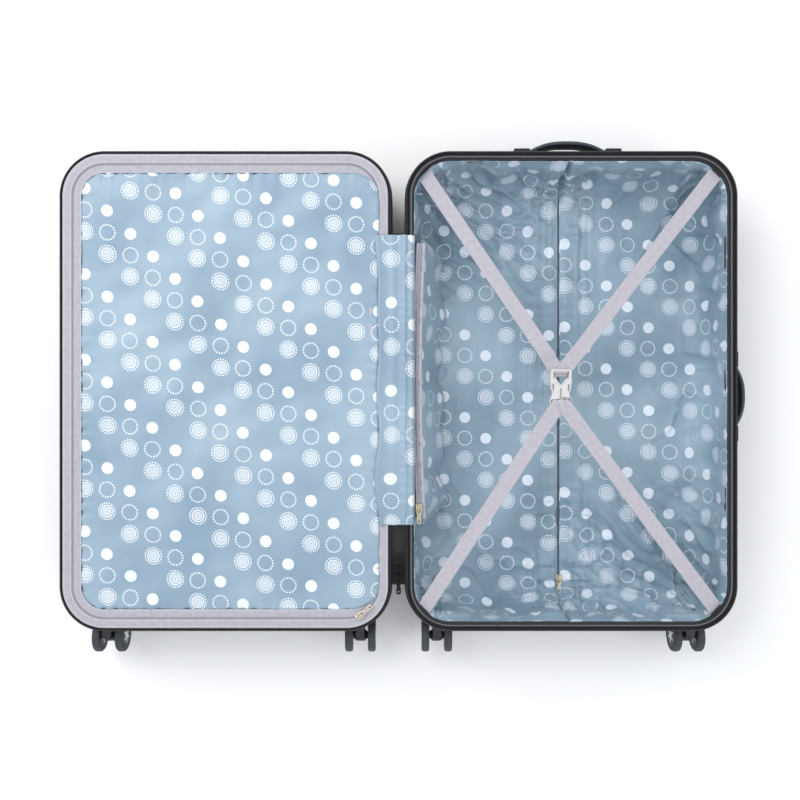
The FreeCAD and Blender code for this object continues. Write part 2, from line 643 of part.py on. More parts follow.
def make_buckle():
    """Make the female body and the male clip of the strap buckle."""
    half, thin = "buckle_wide / 2", "2"
    parting = "buckle_y + 1.5"

    def piece(name, x, y, z):
        return block(name, ("buckle_x - (%s)" % x, y[0], "buckle_z - (%s)" % z),
                     ("buckle_x + (%s)" % x, y[1], "buckle_z + (%s)" % z))

    shell = piece("female_shell", half, ("buckle_low + 8", parting), "buckle_thick / 2")
    tail = piece("female_tail", half, ("buckle_low", "buckle_low + 9"), thin)
    slot = piece("female_slot", "strap_wide / 2 + 1", ("buckle_low + 3.2", "buckle_low + 7"), "3")
    room = piece("female_room", half + " - 3.2", ("buckle_low + 10.5", parting + " + 1"), "3.6")
    window = piece("female_window", half + " + 1", ("buckle_low + 12", parting + " - 5"), "3.6")
    node("buckle_female", cut("female_shape", fuse("female_solid", [shell, tail]),
                              [slot, room, window]))
    head = piece("male_head", half, (parting + " + 0.3", "buckle_top - 7"), "buckle_thick / 2 - 1")
    end = piece("male_end", half, ("buckle_top - 8", "buckle_top"), thin)
    gap = piece("male_slot", "strap_wide / 2 + 1", ("buckle_top - 7", "buckle_top - 3.2"), "3")
    guide = piece("male_guide", "2", (parting + " - 14", parting + " + 1"), "2.8")
    prongs = []
    for side, sign in SIDES.items():
        x = ["buckle_x + (%s) * %s" % (sign, text) for text in ("7", "(%s - 3.6)" % half)]
        if side == "left":
            x.reverse()
        prongs.append(block("male_arm_" + side, (x[0], parting + " - 15", "buckle_z - 2.8"),
                            (x[1], parting + " + 1", "buckle_z + 2.8")))
    node("buckle_male", cut("male_shape", fuse("male_solid", [head, end, guide] + prongs), [gap]))


def make_hinge_and_pocket():
    """Make the hinge strip, the lining flap over it, the side pocket and the zips of the base."""
    reach = "(hinge_gap / 2 + shell_wall - run_gap)"
    node("hinge_strip", block("hinge_strip_shape",
                              ("hinge_x - " + reach, "hinge_strip_low", "shell_top + 4"),
                              ("hinge_x + " + reach, "hinge_strip_high", "shell_top + 4 + cloth")))
    node("hinge_flap", block("hinge_flap_shape",
                             ("hinge_x - flap_over_lid", "flap_low", "half_depth + 0.3"),
                             ("hinge_x + flap_over_base", "flap_high", "half_depth + 0.3 + cloth")))
    panel = block("hinge_pocket_shape", ("0", "0", "0"),
                  ("sqrt(pocket_drop ^ 2 + pocket_flare ^ 2)", "flap_high - flap_low", "cloth"))
    panel.Placement = FreeCAD.Placement(V(), FreeCAD.Rotation(V(0, 1, 0), 10))
    bind(panel, "Placement.Rotation.Angle", "atan2(pocket_drop; pocket_flare)")
    place(panel, "pocket_zip_x + 6.3", "flap_low", "pocket_zip_z")
    node("hinge_pocket", panel)
    node("pocket_zip", fuse("pocket_zip_shape", [
        block("pocket_tape", ("pocket_x + cloth", "flap_low + 16", "pocket_zip_z"),
              ("pocket_zip_x + 6", "flap_high - 10", "pocket_zip_z + 1")),
        block("pocket_coil", ("pocket_zip_x - 1.7", "flap_low + 16", "pocket_zip_z + 0.5"),
              ("pocket_zip_x + 1.7", "flap_high - 10", "pocket_zip_z + 2.4"))]))
    slider = make_zip_slider("pocket_zip", ("pocket_zip_x", "pocket_slider_y", "pocket_zip_z + 2.7"),
                             180)
    node("pocket_zip_slider", slider)
    node("floor_zip", fuse("floor_zip_shape", [
        block("floor_tape", ("-floor_zip_wide / 2", "-floor_zip_end", "floor_zip_z"),
              ("floor_zip_wide / 2", "floor_zip_end", "floor_zip_z + 0.8")),
        block("floor_coil", ("-2.5", "-floor_zip_end", "floor_zip_z + 0.5"),
              ("2.5", "floor_zip_end", "floor_zip_z + 2.4"))]))
    slider = make_zip_slider("floor_zip", ("0", "floor_slider_y", "floor_zip_z + 2.7"), 180)
    node("floor_zip_slider", slider)
    main_z = "half_depth - 4"
    upper = make_zip_slider("main_zip_upper", ("hinge_x", "main_slider_y", main_z), 0)
    lower_y = "main_slider_y - slider_long - 1"
    lower = make_zip_slider("main_zip_lower", ("hinge_x", lower_y, main_z), 180)
    node("main_zip_sliders", group("main_zip_slider_pair", [upper, lower]))
    turn = "(corner_radius - zip_inset)"
    slider = make_zip_slider("divider_zip", ("lid_x + corner_x + %s * 0.42" % turn,
                                             "-corner_y - %s * 0.9075" % turn,
                                             "divider_top + divider_coil_high + soft_gap"), -50)
    node("divider_zip_slider", slider)


def make_foot():
    """Make the small foot on the bottom wall."""
    node("base_foot", block("base_foot_shape", ("foot_x - foot_long / 2", "-end_y - 5", "84"),
                            ("foot_x + foot_long / 2", "-end_y", "100")))


def check_and_write():
    """Stop on any failed object or poor shape, then write every sub-part to its file."""
    doc.recompute()
    for item in doc.Objects:
        if "Invalid" in item.State or "Error" in item.State:
            raise RuntimeError("object failed: " + item.Name)
    os.makedirs("parts", exist_ok=True)
    for label, item in nodes.items():
        if item.Shape.isNull() or not item.Shape.isValid() or not item.Shape.Solids:
            raise RuntimeError("poor shape: " + label)
        item.Shape.exportStep(os.path.join("parts", label + ".step"))
        box = item.Shape.BoundBox
        print("%-30s %2d solids  %9.0f mm3  %7.1f %7.1f %6.1f .. %7.1f %7.1f %6.1f" % (
            label, len(item.Shape.Solids), item.Shape.Volume, box.XMin, box.YMin, box.ZMin,
            box.XMax, box.YMax, box.ZMax))
    print(len(nodes), "sub-parts")


top_opening, top_mounts = make_carry_handle("top_handle", "top_handle_long", 0, "0", "end_y")
side_opening, side_mounts = make_carry_handle("side_handle", "side_handle_long", -90, "side_x",
                                              "side_handle_y")
node("handle_mounts", group("handle_mount_set", [top_mounts, side_mounts]))
trolley_opening = block("trolley_opening", ("-bezel_wide / 2", "bezel_inner", "shell_wall / 2"),
                        ("bezel_wide / 2", "end_y + 1", "base_floor - soft_gap"))
base_envelope = make_half("base", "0", [top_opening, side_opening, trolley_opening])
make_half("lid", "lid_x", [])
make_lining("base", "0", "base_lining_inset", "base_floor", "12")
make_lining("lid", "lid_x", "lid_lining_inset", "lid_floor", "back_radius - lid_lining_inset")
make_trolley(base_envelope, trolley_opening)
make_straps()
make_divider()
make_hinge_and_pocket()
make_foot()
for half_name, half_x in HALVES.items():
    for side_name in SIDES:
        make_caster(half_name, side_name, half_x)
check_and_write()
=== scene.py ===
"""A hard shell suitcase on casters, lying open: the printed lining, webbing, trim and finishes over the fixed frame."""

import logging
import math
from dataclasses import dataclass
from enum import Enum
from typing import Any, Optional, Sequence

import bmesh
import bpy
import numpy as np
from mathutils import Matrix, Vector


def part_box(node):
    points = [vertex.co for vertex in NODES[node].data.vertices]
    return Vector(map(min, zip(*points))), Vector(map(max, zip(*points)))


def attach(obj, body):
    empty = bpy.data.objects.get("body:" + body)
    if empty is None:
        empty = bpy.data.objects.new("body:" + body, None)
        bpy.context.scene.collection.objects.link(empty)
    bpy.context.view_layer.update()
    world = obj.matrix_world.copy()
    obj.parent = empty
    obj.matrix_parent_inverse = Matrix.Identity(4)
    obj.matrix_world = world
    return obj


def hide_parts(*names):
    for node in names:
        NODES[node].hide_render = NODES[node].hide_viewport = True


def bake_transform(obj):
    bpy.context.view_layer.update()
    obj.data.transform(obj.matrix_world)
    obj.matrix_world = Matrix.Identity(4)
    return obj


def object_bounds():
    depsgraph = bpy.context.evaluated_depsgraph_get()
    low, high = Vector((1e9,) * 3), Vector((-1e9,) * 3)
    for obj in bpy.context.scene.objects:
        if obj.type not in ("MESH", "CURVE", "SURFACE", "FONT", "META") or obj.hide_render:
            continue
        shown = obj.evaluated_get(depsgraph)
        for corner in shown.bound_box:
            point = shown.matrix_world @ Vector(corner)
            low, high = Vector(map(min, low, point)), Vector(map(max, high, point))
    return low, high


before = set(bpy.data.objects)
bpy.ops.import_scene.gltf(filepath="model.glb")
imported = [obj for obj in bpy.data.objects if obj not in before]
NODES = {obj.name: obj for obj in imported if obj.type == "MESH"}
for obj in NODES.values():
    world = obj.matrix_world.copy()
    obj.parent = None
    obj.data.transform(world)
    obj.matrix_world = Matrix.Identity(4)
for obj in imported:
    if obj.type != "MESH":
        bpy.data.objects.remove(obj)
CAD_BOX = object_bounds()
LOG = logging.getLogger("suitcase")

MM = 0.001
MATH = "ShaderNodeMath"
PRINCIPLED = "ShaderNodeBsdfPrincipled"


# ---------------------------------------------------------------- colour and nodes


def linear(colour: str) -> tuple[float, float, float, float]:
    """Turn an sRGB hex colour into linear RGBA.

    Args:
        colour: "#RRGGBB".

    Returns:
        Linear red, green, blue and an alpha of 1.
    """
    channels = [int(colour[i : i + 2], 16) / 255 for i in (1, 3, 5)]
    turned = [c / 12.92 if c <= 0.04045 else ((c + 0.055) / 1.055) ** 2.4 for c in channels]
    return turned[0], turned[1], turned[2], 1.0


def add_node(
    tree: bpy.types.NodeTree,
    kind: str,
    *values: Any,
    named: Optional[dict[str, Any]] = None,
    **settings: Any,
) -> bpy.types.NodeSocket:
    """Add one node, set it up and link what feeds it.

    Args:
        tree: The material's node tree.
        kind: The node's type name.
        values: Numbers or sockets for its inputs, in order; None leaves one alone.
        named: Numbers or sockets for inputs by name.
        settings: The node's own properties.

    Returns:
        The node's first output; its other outputs are reached through .node.
    """
    node = tree.nodes.new(kind)
    for key, value in settings.items():
        setattr(node, key, value)
    feeds = [(node.inputs[i], v) for i, v in enumerate(values) if v is not None]
    feeds += [(node.inputs[key], v) for key, v in (named or {}).items()]
    for socket, value in feeds:
        if isinstance(value, bpy.types.NodeSocket):
            tree.links.new(value, socket)
        else:
            socket.default_value = value
    return node.outputs[0] if node.outputs else None


def blank_material(name: str) -> tuple[bpy.types.Material, bpy.types.NodeTree]:
    """Make a node material with nothing in its tree.

    Args:
        name: The material's name.

    Returns:
        The material and its node tree.
    """
    material = bpy.data.materials.new(name)
    material.use_nodes = True
    material.node_tree.nodes.clear()
    return material, material.node_tree


def shade(
    tree: bpy.types.NodeTree,
    colour: Any,
    roughness: Any,
    height: Optional[bpy.types.NodeSocket] = None,
    depth: float = 0.3,
    relief: float = 0.4,
    **fixed: float,
) -> None:
    """End a material with its principled shader, bump and output.

    Args:
        tree: The material's node tree.
        colour: Linear colour or colour socket.
        roughness: Number or socket.
        height: Socket of relief height from 0 to 1.
        depth: What a height of 1 stands for, in millimetres.
        relief: Bump strength.
        fixed: Shader inputs set to plain numbers, with _ for a space.
    """
    names = {key.replace("_", " ").title().replace("Ior", "IOR"): v for key, v in fixed.items()}
    names.update({"Base Color": colour, "Roughness": roughness})
    if height is not None:
        names["Normal"] = add_node(
            tree, "ShaderNodeBump", named={"Strength": relief, "Distance": depth * MM, "Height": height}
        )
    shader = add_node(tree, PRINCIPLED, named=names)
    add_node(tree, "ShaderNodeOutputMaterial", shader)


# ---------------------------------------------------------------- finishes


@dataclass(frozen=True)
class Moulded:
    """Injection moulded or vacuum formed plastic: even colour, fine spark-eroded grain, soft worn gloss.

    The grain is 0.5 mm on the real part and is drawn at its size in millimetres here, up to twice
    as coarse where it would not show.
    """

    name: str
    colour: str
    worn: str
    roughness: float = 0.42
    grain: float = 0.9
    relief: float = 0.25
    ior: float = 1.5

    def make(self) -> bpy.types.Material:
        """Build the material from Object coordinates."""
        material, tree = blank_material(self.name)
        place = add_node(tree, "ShaderNodeTexCoord").node.outputs["Object"]
        grain = add_node(
            tree, "ShaderNodeTexVoronoi", named={"Vector": place, "Scale": 1 / (self.grain * MM)},
            feature="SMOOTH_F1",
        )
        cloud = add_node(tree, "ShaderNodeTexNoise", named={"Vector": place, "Scale": 9.0, "Detail": 5.0})
        fine = add_node(tree, "ShaderNodeTexNoise", named={"Vector": place, "Scale": 420.0, "Detail": 3.0})
        colour = add_node(tree, "ShaderNodeMix", cloud, data_type="RGBA").node
        colour.inputs[6].default_value = linear(self.colour)
        colour.inputs[7].default_value = linear(self.worn)
        gloss = add_node(
            tree, "ShaderNodeMapRange", fine, 0.3, 0.7, self.roughness - 0.06, self.roughness + 0.08
        )
        shade(tree, colour.outputs[2], gloss, grain, 0.25, self.relief, ior=self.ior)
        return material


@dataclass(frozen=True)
class Metal:
    """Drawn, brushed or die-cast metal with fine marks along one axis."""

    name: str
    colour: str
    roughness: float = 0.3
    marks: tuple[float, float, float] = (900.0, 14.0, 900.0)
    relief: float = 0.08

    def make(self) -> bpy.types.Material:
        """Build the material: stretched noise marks the roughness and a shallow bump."""
        material, tree = blank_material(self.name)
        place = add_node(tree, "ShaderNodeTexCoord").node.outputs["Object"]
        stretched = add_node(tree, "ShaderNodeMapping", named={"Vector": place, "Scale": self.marks})
        marks = add_node(tree, "ShaderNodeTexNoise", named={"Vector": stretched, "Scale": 1.0, "Detail": 4.0})
        gloss = add_node(
            tree, "ShaderNodeMapRange", marks, 0.3, 0.7, self.roughness - 0.08, self.roughness + 0.12
        )
        shade(tree, linear(self.colour), gloss, marks, 0.1, self.relief, metallic=1.0)
        return material


@dataclass(frozen=True)
class Woven:
    """Woven nylon or polyester tape: ribs across it, a twill running along it and a stitched line near its edges.

    Reads the UV map in metres, u along the tape and v across it from its middle. Threads 0.4 mm apart
    are drawn at 1.2 mm so that they show.
    """

    name: str
    colour: str
    shadow: str
    rib: float = 1.2
    roughness: float = 0.62
    sheen: float = 0.2
    stitch_at: float = 0.0
    stitch: str = "#C9C8CE"
    slant: float = 1.0

    def make(self) -> bpy.types.Material:
        """Build the material: height = |sin| ribs slanting by slant, crossed by finer warp lines."""
        material, tree = blank_material(self.name)
        uv = add_node(tree, "ShaderNodeTexCoord").node.outputs["UV"]
        split = add_node(tree, "ShaderNodeSeparateXYZ", uv).node
        along, across = split.outputs[0], split.outputs[1]
        slanted = add_node(tree, MATH, across, self.slant, along, operation="MULTIPLY_ADD")
        ribs = add_node(tree, MATH, slanted, math.pi / (self.rib * MM), operation="MULTIPLY")
        ribs = add_node(tree, MATH, add_node(tree, MATH, ribs, operation="SINE"), operation="ABSOLUTE")
        warp = add_node(tree, MATH, across, math.pi / (self.rib * 0.8 * MM), operation="MULTIPLY")
        warp = add_node(tree, MATH, add_node(tree, MATH, warp, operation="SINE"), operation="ABSOLUTE")
        height = add_node(tree, MATH, ribs, 0.6, warp, operation="MULTIPLY_ADD")
        uneven = add_node(tree, "ShaderNodeTexNoise", named={"Vector": uv, "Scale": 160.0, "Detail": 4.0})
        tone = add_node(tree, MATH, height, 0.45, uneven, operation="MULTIPLY_ADD")
        tone = add_node(tree, "ShaderNodeMapRange", tone, 0.4, 1.2, 0.0, 1.0)
        colour = add_node(tree, "ShaderNodeMix", tone, data_type="RGBA").node
        colour.inputs[6].default_value = linear(self.shadow)
        colour.inputs[7].default_value = linear(self.colour)
        result = colour.outputs[2]
        if self.stitch_at > 0:
            off = add_node(tree, MATH, across, operation="ABSOLUTE")
            off = add_node(tree, MATH, off, self.stitch_at * MM, operation="SUBTRACT")
            away = add_node(tree, MATH, off, operation="ABSOLUTE")
            near = add_node(tree, MATH, away, 0.45 * MM, operation="LESS_THAN")
            step = add_node(tree, MATH, along, 1 / (3.2 * MM), operation="MULTIPLY")
            dash = add_node(tree, MATH, add_node(tree, MATH, step, operation="FRACT"), 0.72, operation="LESS_THAN")
            mask = add_node(tree, MATH, near, dash, operation="MULTIPLY")
            sewn = add_node(tree, "ShaderNodeMix", mask, data_type="RGBA").node
            tree.links.new(result, sewn.inputs[6])
            sewn.inputs[7].default_value = linear(self.stitch)
            result = sewn.outputs[2]
            height = add_node(tree, MATH, mask, height, operation="ADD")
        shade(tree, result, self.roughness, height, 0.35, 0.5, sheen_weight=self.sheen)
        return material


@dataclass(frozen=True)
class PrintedSatin:
    """Satin-woven polyester lining, roller printed in white with rings, rosettes and discs on a slanting grid.

    Reads the UV map in metres as the flat cloth. Each cell of the grid is one of four kinds in turn, stepping
    by one from row to row: rosette, ring of dots, disc, bare cloth.
    """

    name: str
    ground: str = "#A3BED2"
    shadow: str = "#8DA9C1"
    ink: str = "#EDF1F8"
    pitch_across: float = 30.5
    pitch_up: float = 28.6
    slope: float = -0.055
    start_x: float = 0.0
    start_y: float = 0.0
    first: int = 0
    roughness: float = 0.42

    def make(self) -> bpy.types.Material:
        """Build the material.

        With a = (u - start_x) / pitch_across and b = (v - start_y - slope (u - start_x)) / pitch_up, a
        cell is (round a, round b), its kind is (round a + round b) mod 4, and inside it r and t are the
        distance in millimetres and the angle from its middle. A dot ring of n dots at radius R is
        sqrt((r - R)^2 + (arc to the nearest dot)^2) < dot / 2, and a ring is |r - R| < width / 2.
        """
        material, tree = blank_material(self.name)
        uv = add_node(tree, "ShaderNodeTexCoord").node.outputs["UV"]
        split = add_node(tree, "ShaderNodeSeparateXYZ", uv).node
        u = add_node(tree, MATH, split.outputs[0], 1000.0, -self.start_x, operation="MULTIPLY_ADD")
        v = add_node(tree, MATH, split.outputs[1], 1000.0, -self.start_y, operation="MULTIPLY_ADD")
        v = add_node(tree, MATH, u, -self.slope, v, operation="MULTIPLY_ADD")
        a = add_node(tree, MATH, u, self.pitch_across, operation="DIVIDE")
        b = add_node(tree, MATH, v, self.pitch_up, operation="DIVIDE")
        cell_a = add_node(tree, MATH, a, operation="ROUND")
        cell_b = add_node(tree, MATH, b, operation="ROUND")
        x = add_node(tree, MATH, cell_a, -self.pitch_across, u, operation="MULTIPLY_ADD")
        y = add_node(tree, MATH, cell_b, -self.pitch_up, v, operation="MULTIPLY_ADD")
        count = add_node(tree, MATH, cell_a, cell_b, operation="ADD")
        count = add_node(tree, MATH, count, 400.0 + self.first, operation="ADD")
        kind = add_node(tree, MATH, count, 4.0, operation="MODULO")
        flat = add_node(tree, "ShaderNodeCombineXYZ", x, y, 0.0)
        r = add_node(tree, "ShaderNodeVectorMath", flat, operation="LENGTH").node.outputs["Value"]
        t = add_node(tree, MATH, y, x, operation="ARCTAN2")
        rosette = [(7.7, 1.7), (5.2, 1.1), (3.4, 1.0), (1.7, 1.2)]
        marks = [self.dots(tree, r, t, 11.0, 20, 2.2)]
        for radius, width in rosette:
            off = add_node(tree, MATH, r, radius, operation="SUBTRACT")
            off = add_node(tree, MATH, off, operation="ABSOLUTE")
            marks.append(self.edge(tree, off, width / 2))
        mask = None
        for number, group in enumerate((marks, [self.dots(tree, r, t, 10.1, 18, 2.3)], [self.edge(tree, r, 7.9)])):
            whole = group[0]
            for mark in group[1:]:
                whole = add_node(tree, MATH, whole, mark, operation="MAXIMUM")
            here = add_node(tree, MATH, kind, float(number), 0.5, operation="COMPARE")
            here = add_node(tree, MATH, here, whole, operation="MULTIPLY")
            mask = here if mask is None else add_node(tree, MATH, mask, here, operation="MAXIMUM")
        cloud = add_node(tree, "ShaderNodeTexNoise", named={"Vector": uv, "Scale": 7.0, "Detail": 3.0})
        cloud = add_node(tree, "ShaderNodeMapRange", cloud, 0.35, 0.65, 0.0, 1.0)
        cloth = add_node(tree, "ShaderNodeMix", cloud, data_type="RGBA").node
        cloth.inputs[6].default_value = linear(self.shadow)
        cloth.inputs[7].default_value = linear(self.ground)
        thread = add_node(tree, "ShaderNodeTexNoise", named={"Vector": uv, "Scale": 700.0, "Detail": 2.0})
        covered = add_node(tree, "ShaderNodeMapRange", thread, 0.3, 0.6, 0.86, 1.0)
        cover = add_node(tree, MATH, mask, covered, operation="MULTIPLY")
        printed = add_node(tree, "ShaderNodeMix", cover, data_type="RGBA").node
        tree.links.new(cloth.outputs[2], printed.inputs[6])
        printed.inputs[7].default_value = linear(self.ink)
        height = add_node(tree, MATH, mask, 0.3, thread, operation="MULTIPLY_ADD")
        gloss = add_node(tree, MATH, mask, 0.12, self.roughness, operation="MULTIPLY_ADD")
        shade(tree, printed.outputs[2], gloss, height, 0.12, 0.22, sheen_weight=0.25, sheen_roughness=0.4)
        return material

    def edge(self, tree: bpy.types.NodeTree, distance: bpy.types.NodeSocket, limit: float) -> bpy.types.NodeSocket:
        """Return 1 where distance is below limit, falling to 0 over 0.3 mm of ink spread."""
        return add_node(tree, "ShaderNodeMapRange", distance, limit - 0.15, limit + 0.15, 1.0, 0.0)

    def dots(
        self, tree: bpy.types.NodeTree, r: bpy.types.NodeSocket, t: bpy.types.NodeSocket,
        radius: float, count: int, dot: float,
    ) -> bpy.types.NodeSocket:
        """Mask a ring of round dots.

        Args:
            tree: The material's node tree.
            r: Distance from the middle in millimetres.
            t: Angle about the middle.
            radius: The ring's radius.
            count: How many dots.
            dot: A dot's diameter.

        Returns:
            The mask, 1 on a dot.
        """
        turns = add_node(tree, MATH, t, count / (2 * math.pi), operation="MULTIPLY")
        nearest = add_node(tree, MATH, turns, operation="ROUND")
        part = add_node(tree, MATH, turns, nearest, operation="SUBTRACT")
        arc = add_node(tree, MATH, part, 2 * math.pi * radius / count, operation="MULTIPLY")
        off = add_node(tree, MATH, r, radius, operation="SUBTRACT")
        pair = add_node(tree, "ShaderNodeCombineXYZ", arc, off, 0.0)
        away = add_node(tree, "ShaderNodeVectorMath", pair, operation="LENGTH").node.outputs["Value"]
        return self.edge(tree, away, dot / 2)


@dataclass(frozen=True)
class HubPaint:
    """Silver lacquer on an ABS wheel trim, with its sunk windows left near black.

    Reads the piece's own attribute "sunk", 0 on the spokes and 1 in the windows.
    """

    name: str = "silver_lacquered_abs"

    def make(self) -> bpy.types.Material:
        """Build the material by mixing lacquer and bare plastic colours by the attribute."""
        material, tree = blank_material(self.name)
        sunk = add_node(tree, "ShaderNodeAttribute", attribute_name="sunk").node.outputs["Fac"]
        place = add_node(tree, "ShaderNodeTexCoord").node.outputs["Object"]
        flake = add_node(tree, "ShaderNodeTexNoise", named={"Vector": place, "Scale": 1500.0, "Detail": 1.0})
        colour = add_node(tree, "ShaderNodeMix", sunk, data_type="RGBA").node
        colour.inputs[6].default_value = linear("#DDE0E6")
        colour.inputs[7].default_value = linear("#24262B")
        gloss = add_node(tree, "ShaderNodeMapRange", flake, 0.3, 0.7, 0.24, 0.4)
        shade(tree, colour.outputs[2], gloss, flake, 0.05, 0.1, metallic=0.35)
        return material


SHELL = Moulded("vacuum_formed_abs_shell", "#0F1013", "#141519", 0.4, 1.4, 0.35)
TRIM = Moulded("moulded_abs_trim", "#101114", "#17181C", 0.5, 0.9, 0.2)
GREY_NYLON = Moulded("moulded_nylon_fork", "#23242A", "#33353C", 0.48, 0.8, 0.2)
TYRE = Moulded("polyurethane_tyre", "#34363F", "#44464F", 0.6, 1.1, 0.3)
HANDLE = Moulded("soft_touch_handle", "#343A44", "#3E4550", 0.4, 1.0, 0.12)
BUCKLE = Moulded("acetal_buckle", "#D8D5D3", "#CFCBC9", 0.34, 1.1, 0.08, 1.48)
ZIP_COIL_BLACK = Moulded("nylon_zip_coil_black", "#0A0B0D", "#101115", 0.36, 0.8, 0.05)
ZIP_COIL_GREY = Moulded("nylon_zip_coil_grey", "#A3A1AA", "#8E8C96", 0.42, 0.8, 0.05)
ZIP_COIL_SLATE = Moulded("nylon_zip_coil_slate", "#4A5563", "#394350", 0.45, 0.8, 0.05)
# Painted highlight: the piping bead is real, but its grey colour paints the light line that the shiny bead catches
# between the zip coil and the binding.
HIGHLIGHT_PIPING = Moulded("satin_piping_painted_highlight", "#66636A", "#737078", 0.32, 1.0, 0.05)
BINDING = Woven("nylon_binding_tape", "#0E0F13", "#060709", 1.2, 0.6, 0.15)
STRAP_WEB = Woven("polyester_strap_webbing", "#C1BEC5", "#A6A2AC", 1.3, 0.66, 0.08, 0.0, "#C1BEC5", 1.0)
ZIP_TAPE = Woven("polyester_zip_tape", "#B9B8C0", "#9C9AA5", 1.1, 0.6, 0.2, 0.0, "#D4D4DA", 0.4)
SEWN_TAPE = Woven("polyester_zip_tape_sewn", "#B9B8C0", "#9C9AA5", 1.1, 0.6, 0.2, 4.3, "#D8D8DE", 0.4)
DARK_TAPE = Woven("slate_zip_tape", "#66788B", "#526376", 1.1, 0.6, 0.2, 0.0, "#8C9DB0", 0.4)
HINGE_WEB = Woven("nylon_hinge_tape", "#121317", "#060709", 1.6, 0.5, 0.1, 0.0, "#121317", 0.0)
# Painted shade: this copy of the printed satin, used inside the case halves and for the pocket, has darker ink and a
# darker shadow colour than the panel's to stand in for the shade in the cavity.
SHADED_LINING_PRINT = PrintedSatin("printed_satin_lining_shaded", "#97AEBD", "#7890A2", "#DCE5EF", 30.6, 30.2, -0.01, -106.2, -7.6)
PANEL_PRINT = PrintedSatin(
    "printed_satin_panel", "#9BB1C0", "#859DB1", "#E9EEF6", pitch_up=28.9, start_x=-98.0, start_y=124.0
)
FLAP_PRINT = PrintedSatin("printed_satin_flap", "#98AEBE", "#859DB0", "#E4EAF3", 30.5, 29.6, 0.0, -9.8, 89.2, 1)
TUBE = Metal("anodised_aluminium_tube", "#A9ACB2", 0.34)
STEEL = Metal("zinc_plated_steel", "#8C8E93", 0.36, (300.0, 300.0, 300.0))
SLIDER_METAL = Metal("die_cast_zinc_nickel", "#D9CFBE", 0.28, (260.0, 260.0, 260.0))
GOLD_METAL = Metal("die_cast_zinc_brass_finish", "#CFC2A8", 0.3, (260.0, 260.0, 260.0))
BLACK_METAL = Metal("black_oxide_slider", "#2A2A2E", 0.4, (260.0, 260.0, 260.0))
HUB = HubPaint()
_MADE: dict[str, bpy.types.Material] = {}


def finish(kind: Any) -> bpy.types.Material:
    """Return a finish's material, made once."""
    if kind.name not in _MADE:
        _MADE[kind.name] = kind.make()
    return _MADE[kind.name]


# ---------------------------------------------------------------- surfaces


def mesh_piece(
    name: str,
    points: np.ndarray,
    faces: np.ndarray,
    kind: Any,
    loop_uv: Optional[np.ndarray] = None,
    smooth: bool = True,
) -> bpy.types.Object:
    """Put points and quads into a new object at the origin.

    Args:
        name: The piece's name.
        points: Vertex positions in metres, n by 3.
        faces: Corner indices, m by 4.
        kind: The finish.
        loop_uv: UV of each face corner in metres, 4m by 2.
        smooth: Whether its faces are shaded smooth.

    Returns:
        The object.
    """
    mesh = bpy.data.meshes.new(name)
    mesh.from_pydata(points.reshape(-1, 3).tolist(), [], faces.tolist())
    if loop_uv is not None:
        layer = mesh.uv_layers.new(name="cloth")
        layer.data.foreach_set("uv", loop_uv.astype(np.float32).ravel())
    mesh.polygons.foreach_set("use_smooth", np.full(len(mesh.polygons), smooth))
    mesh.materials.append(finish(kind))
    mesh.update()
    piece = bpy.data.objects.new(name, mesh)
    bpy.context.scene.collection.objects.link(piece)
    return piece


def grid_piece(
    name: str,
    points: np.ndarray,
    kind: Any,
    uv: Optional[np.ndarray] = None,
    around: bool = False,
    along: bool = False,
    flip: bool = False,
    smooth: bool = True,
) -> bpy.types.Object:
    """Turn a grid of points into a quad surface.

    Args:
        name: The piece's name.
        points: Positions in metres, rows by columns by 3.
        kind: The finish.
        uv: UV in metres, rows by columns by 2, with one more row or column where the grid closes.
        around: Whether the last column joins the first.
        along: Whether the last row joins the first.
        flip: Whether the faces are turned over.
        smooth: Whether its faces are shaded smooth.

    Returns:
        The object.
    """
    rows, columns = points.shape[:2]
    i, j = np.meshgrid(
        np.arange(rows if along else rows - 1), np.arange(columns if around else columns - 1), indexing="ij"
    )
    corners = [(i, j), (i, j + 1), (i + 1, j + 1), (i + 1, j)]
    if flip:
        corners = corners[::-1]
    faces = np.stack([(a % rows) * columns + b % columns for a, b in corners], -1).reshape(-1, 4)
    loop_uv = None
    if uv is not None:
        loop_uv = np.stack([uv[a, b] for a, b in corners], -2).reshape(-1, 2)
    return mesh_piece(name, points, faces, kind, loop_uv, smooth)


def thicken(piece: bpy.types.Object, thickness: float, offset: float = -1.0) -> bpy.types.Object:
    """Give a sheet its thickness in millimetres, keeping its made face outside."""
    wall = piece.modifiers.new("wall", "SOLIDIFY")
    wall.thickness, wall.offset = thickness * MM, offset
    wall.use_even_offset = False
    return piece


def soft_noise(
    seed: int, u: np.ndarray, v: np.ndarray, shortest: float, longest: float,
    count: int = 18, heading: Optional[float] = None, spread: float = 0.35,
) -> np.ndarray:
    """Smooth seeded noise, n = sum of cos(2 pi (u cos h + v sin h) / w + p) / sqrt(count / 2).

    Args:
        seed: What fixes the waves.
        u: First coordinate in millimetres.
        v: Second coordinate in millimetres.
        shortest: Shortest wavelength in millimetres.
        longest: Longest wavelength in millimetres.
        count: How many waves.
        heading: Direction across the folds in radians, or None for any.
        spread: How far each wave may turn from it.

    Returns:
        The noise, about -1 to 1.
    """
    draw = np.random.default_rng(seed)
    wave = shortest * (longest / shortest) ** draw.random(count)
    turn = draw.random(count) * math.pi if heading is None else heading + spread * draw.normal(size=count)
    phase = draw.random(count) * 2 * math.pi
    total = np.zeros(np.broadcast(u, v).shape)
    for w, h, p in zip(wave, turn, phase):
        total += np.cos(2 * math.pi * (u * math.cos(h) + v * math.sin(h)) / w + p)
    return total / math.sqrt(count / 2)


def creases(noise: np.ndarray, width: float = 0.35) -> np.ndarray:
    """Narrow ridges along the zero lines of a noise, exp(-(n / width)^2)."""
    return np.exp(-((noise / width) ** 2))


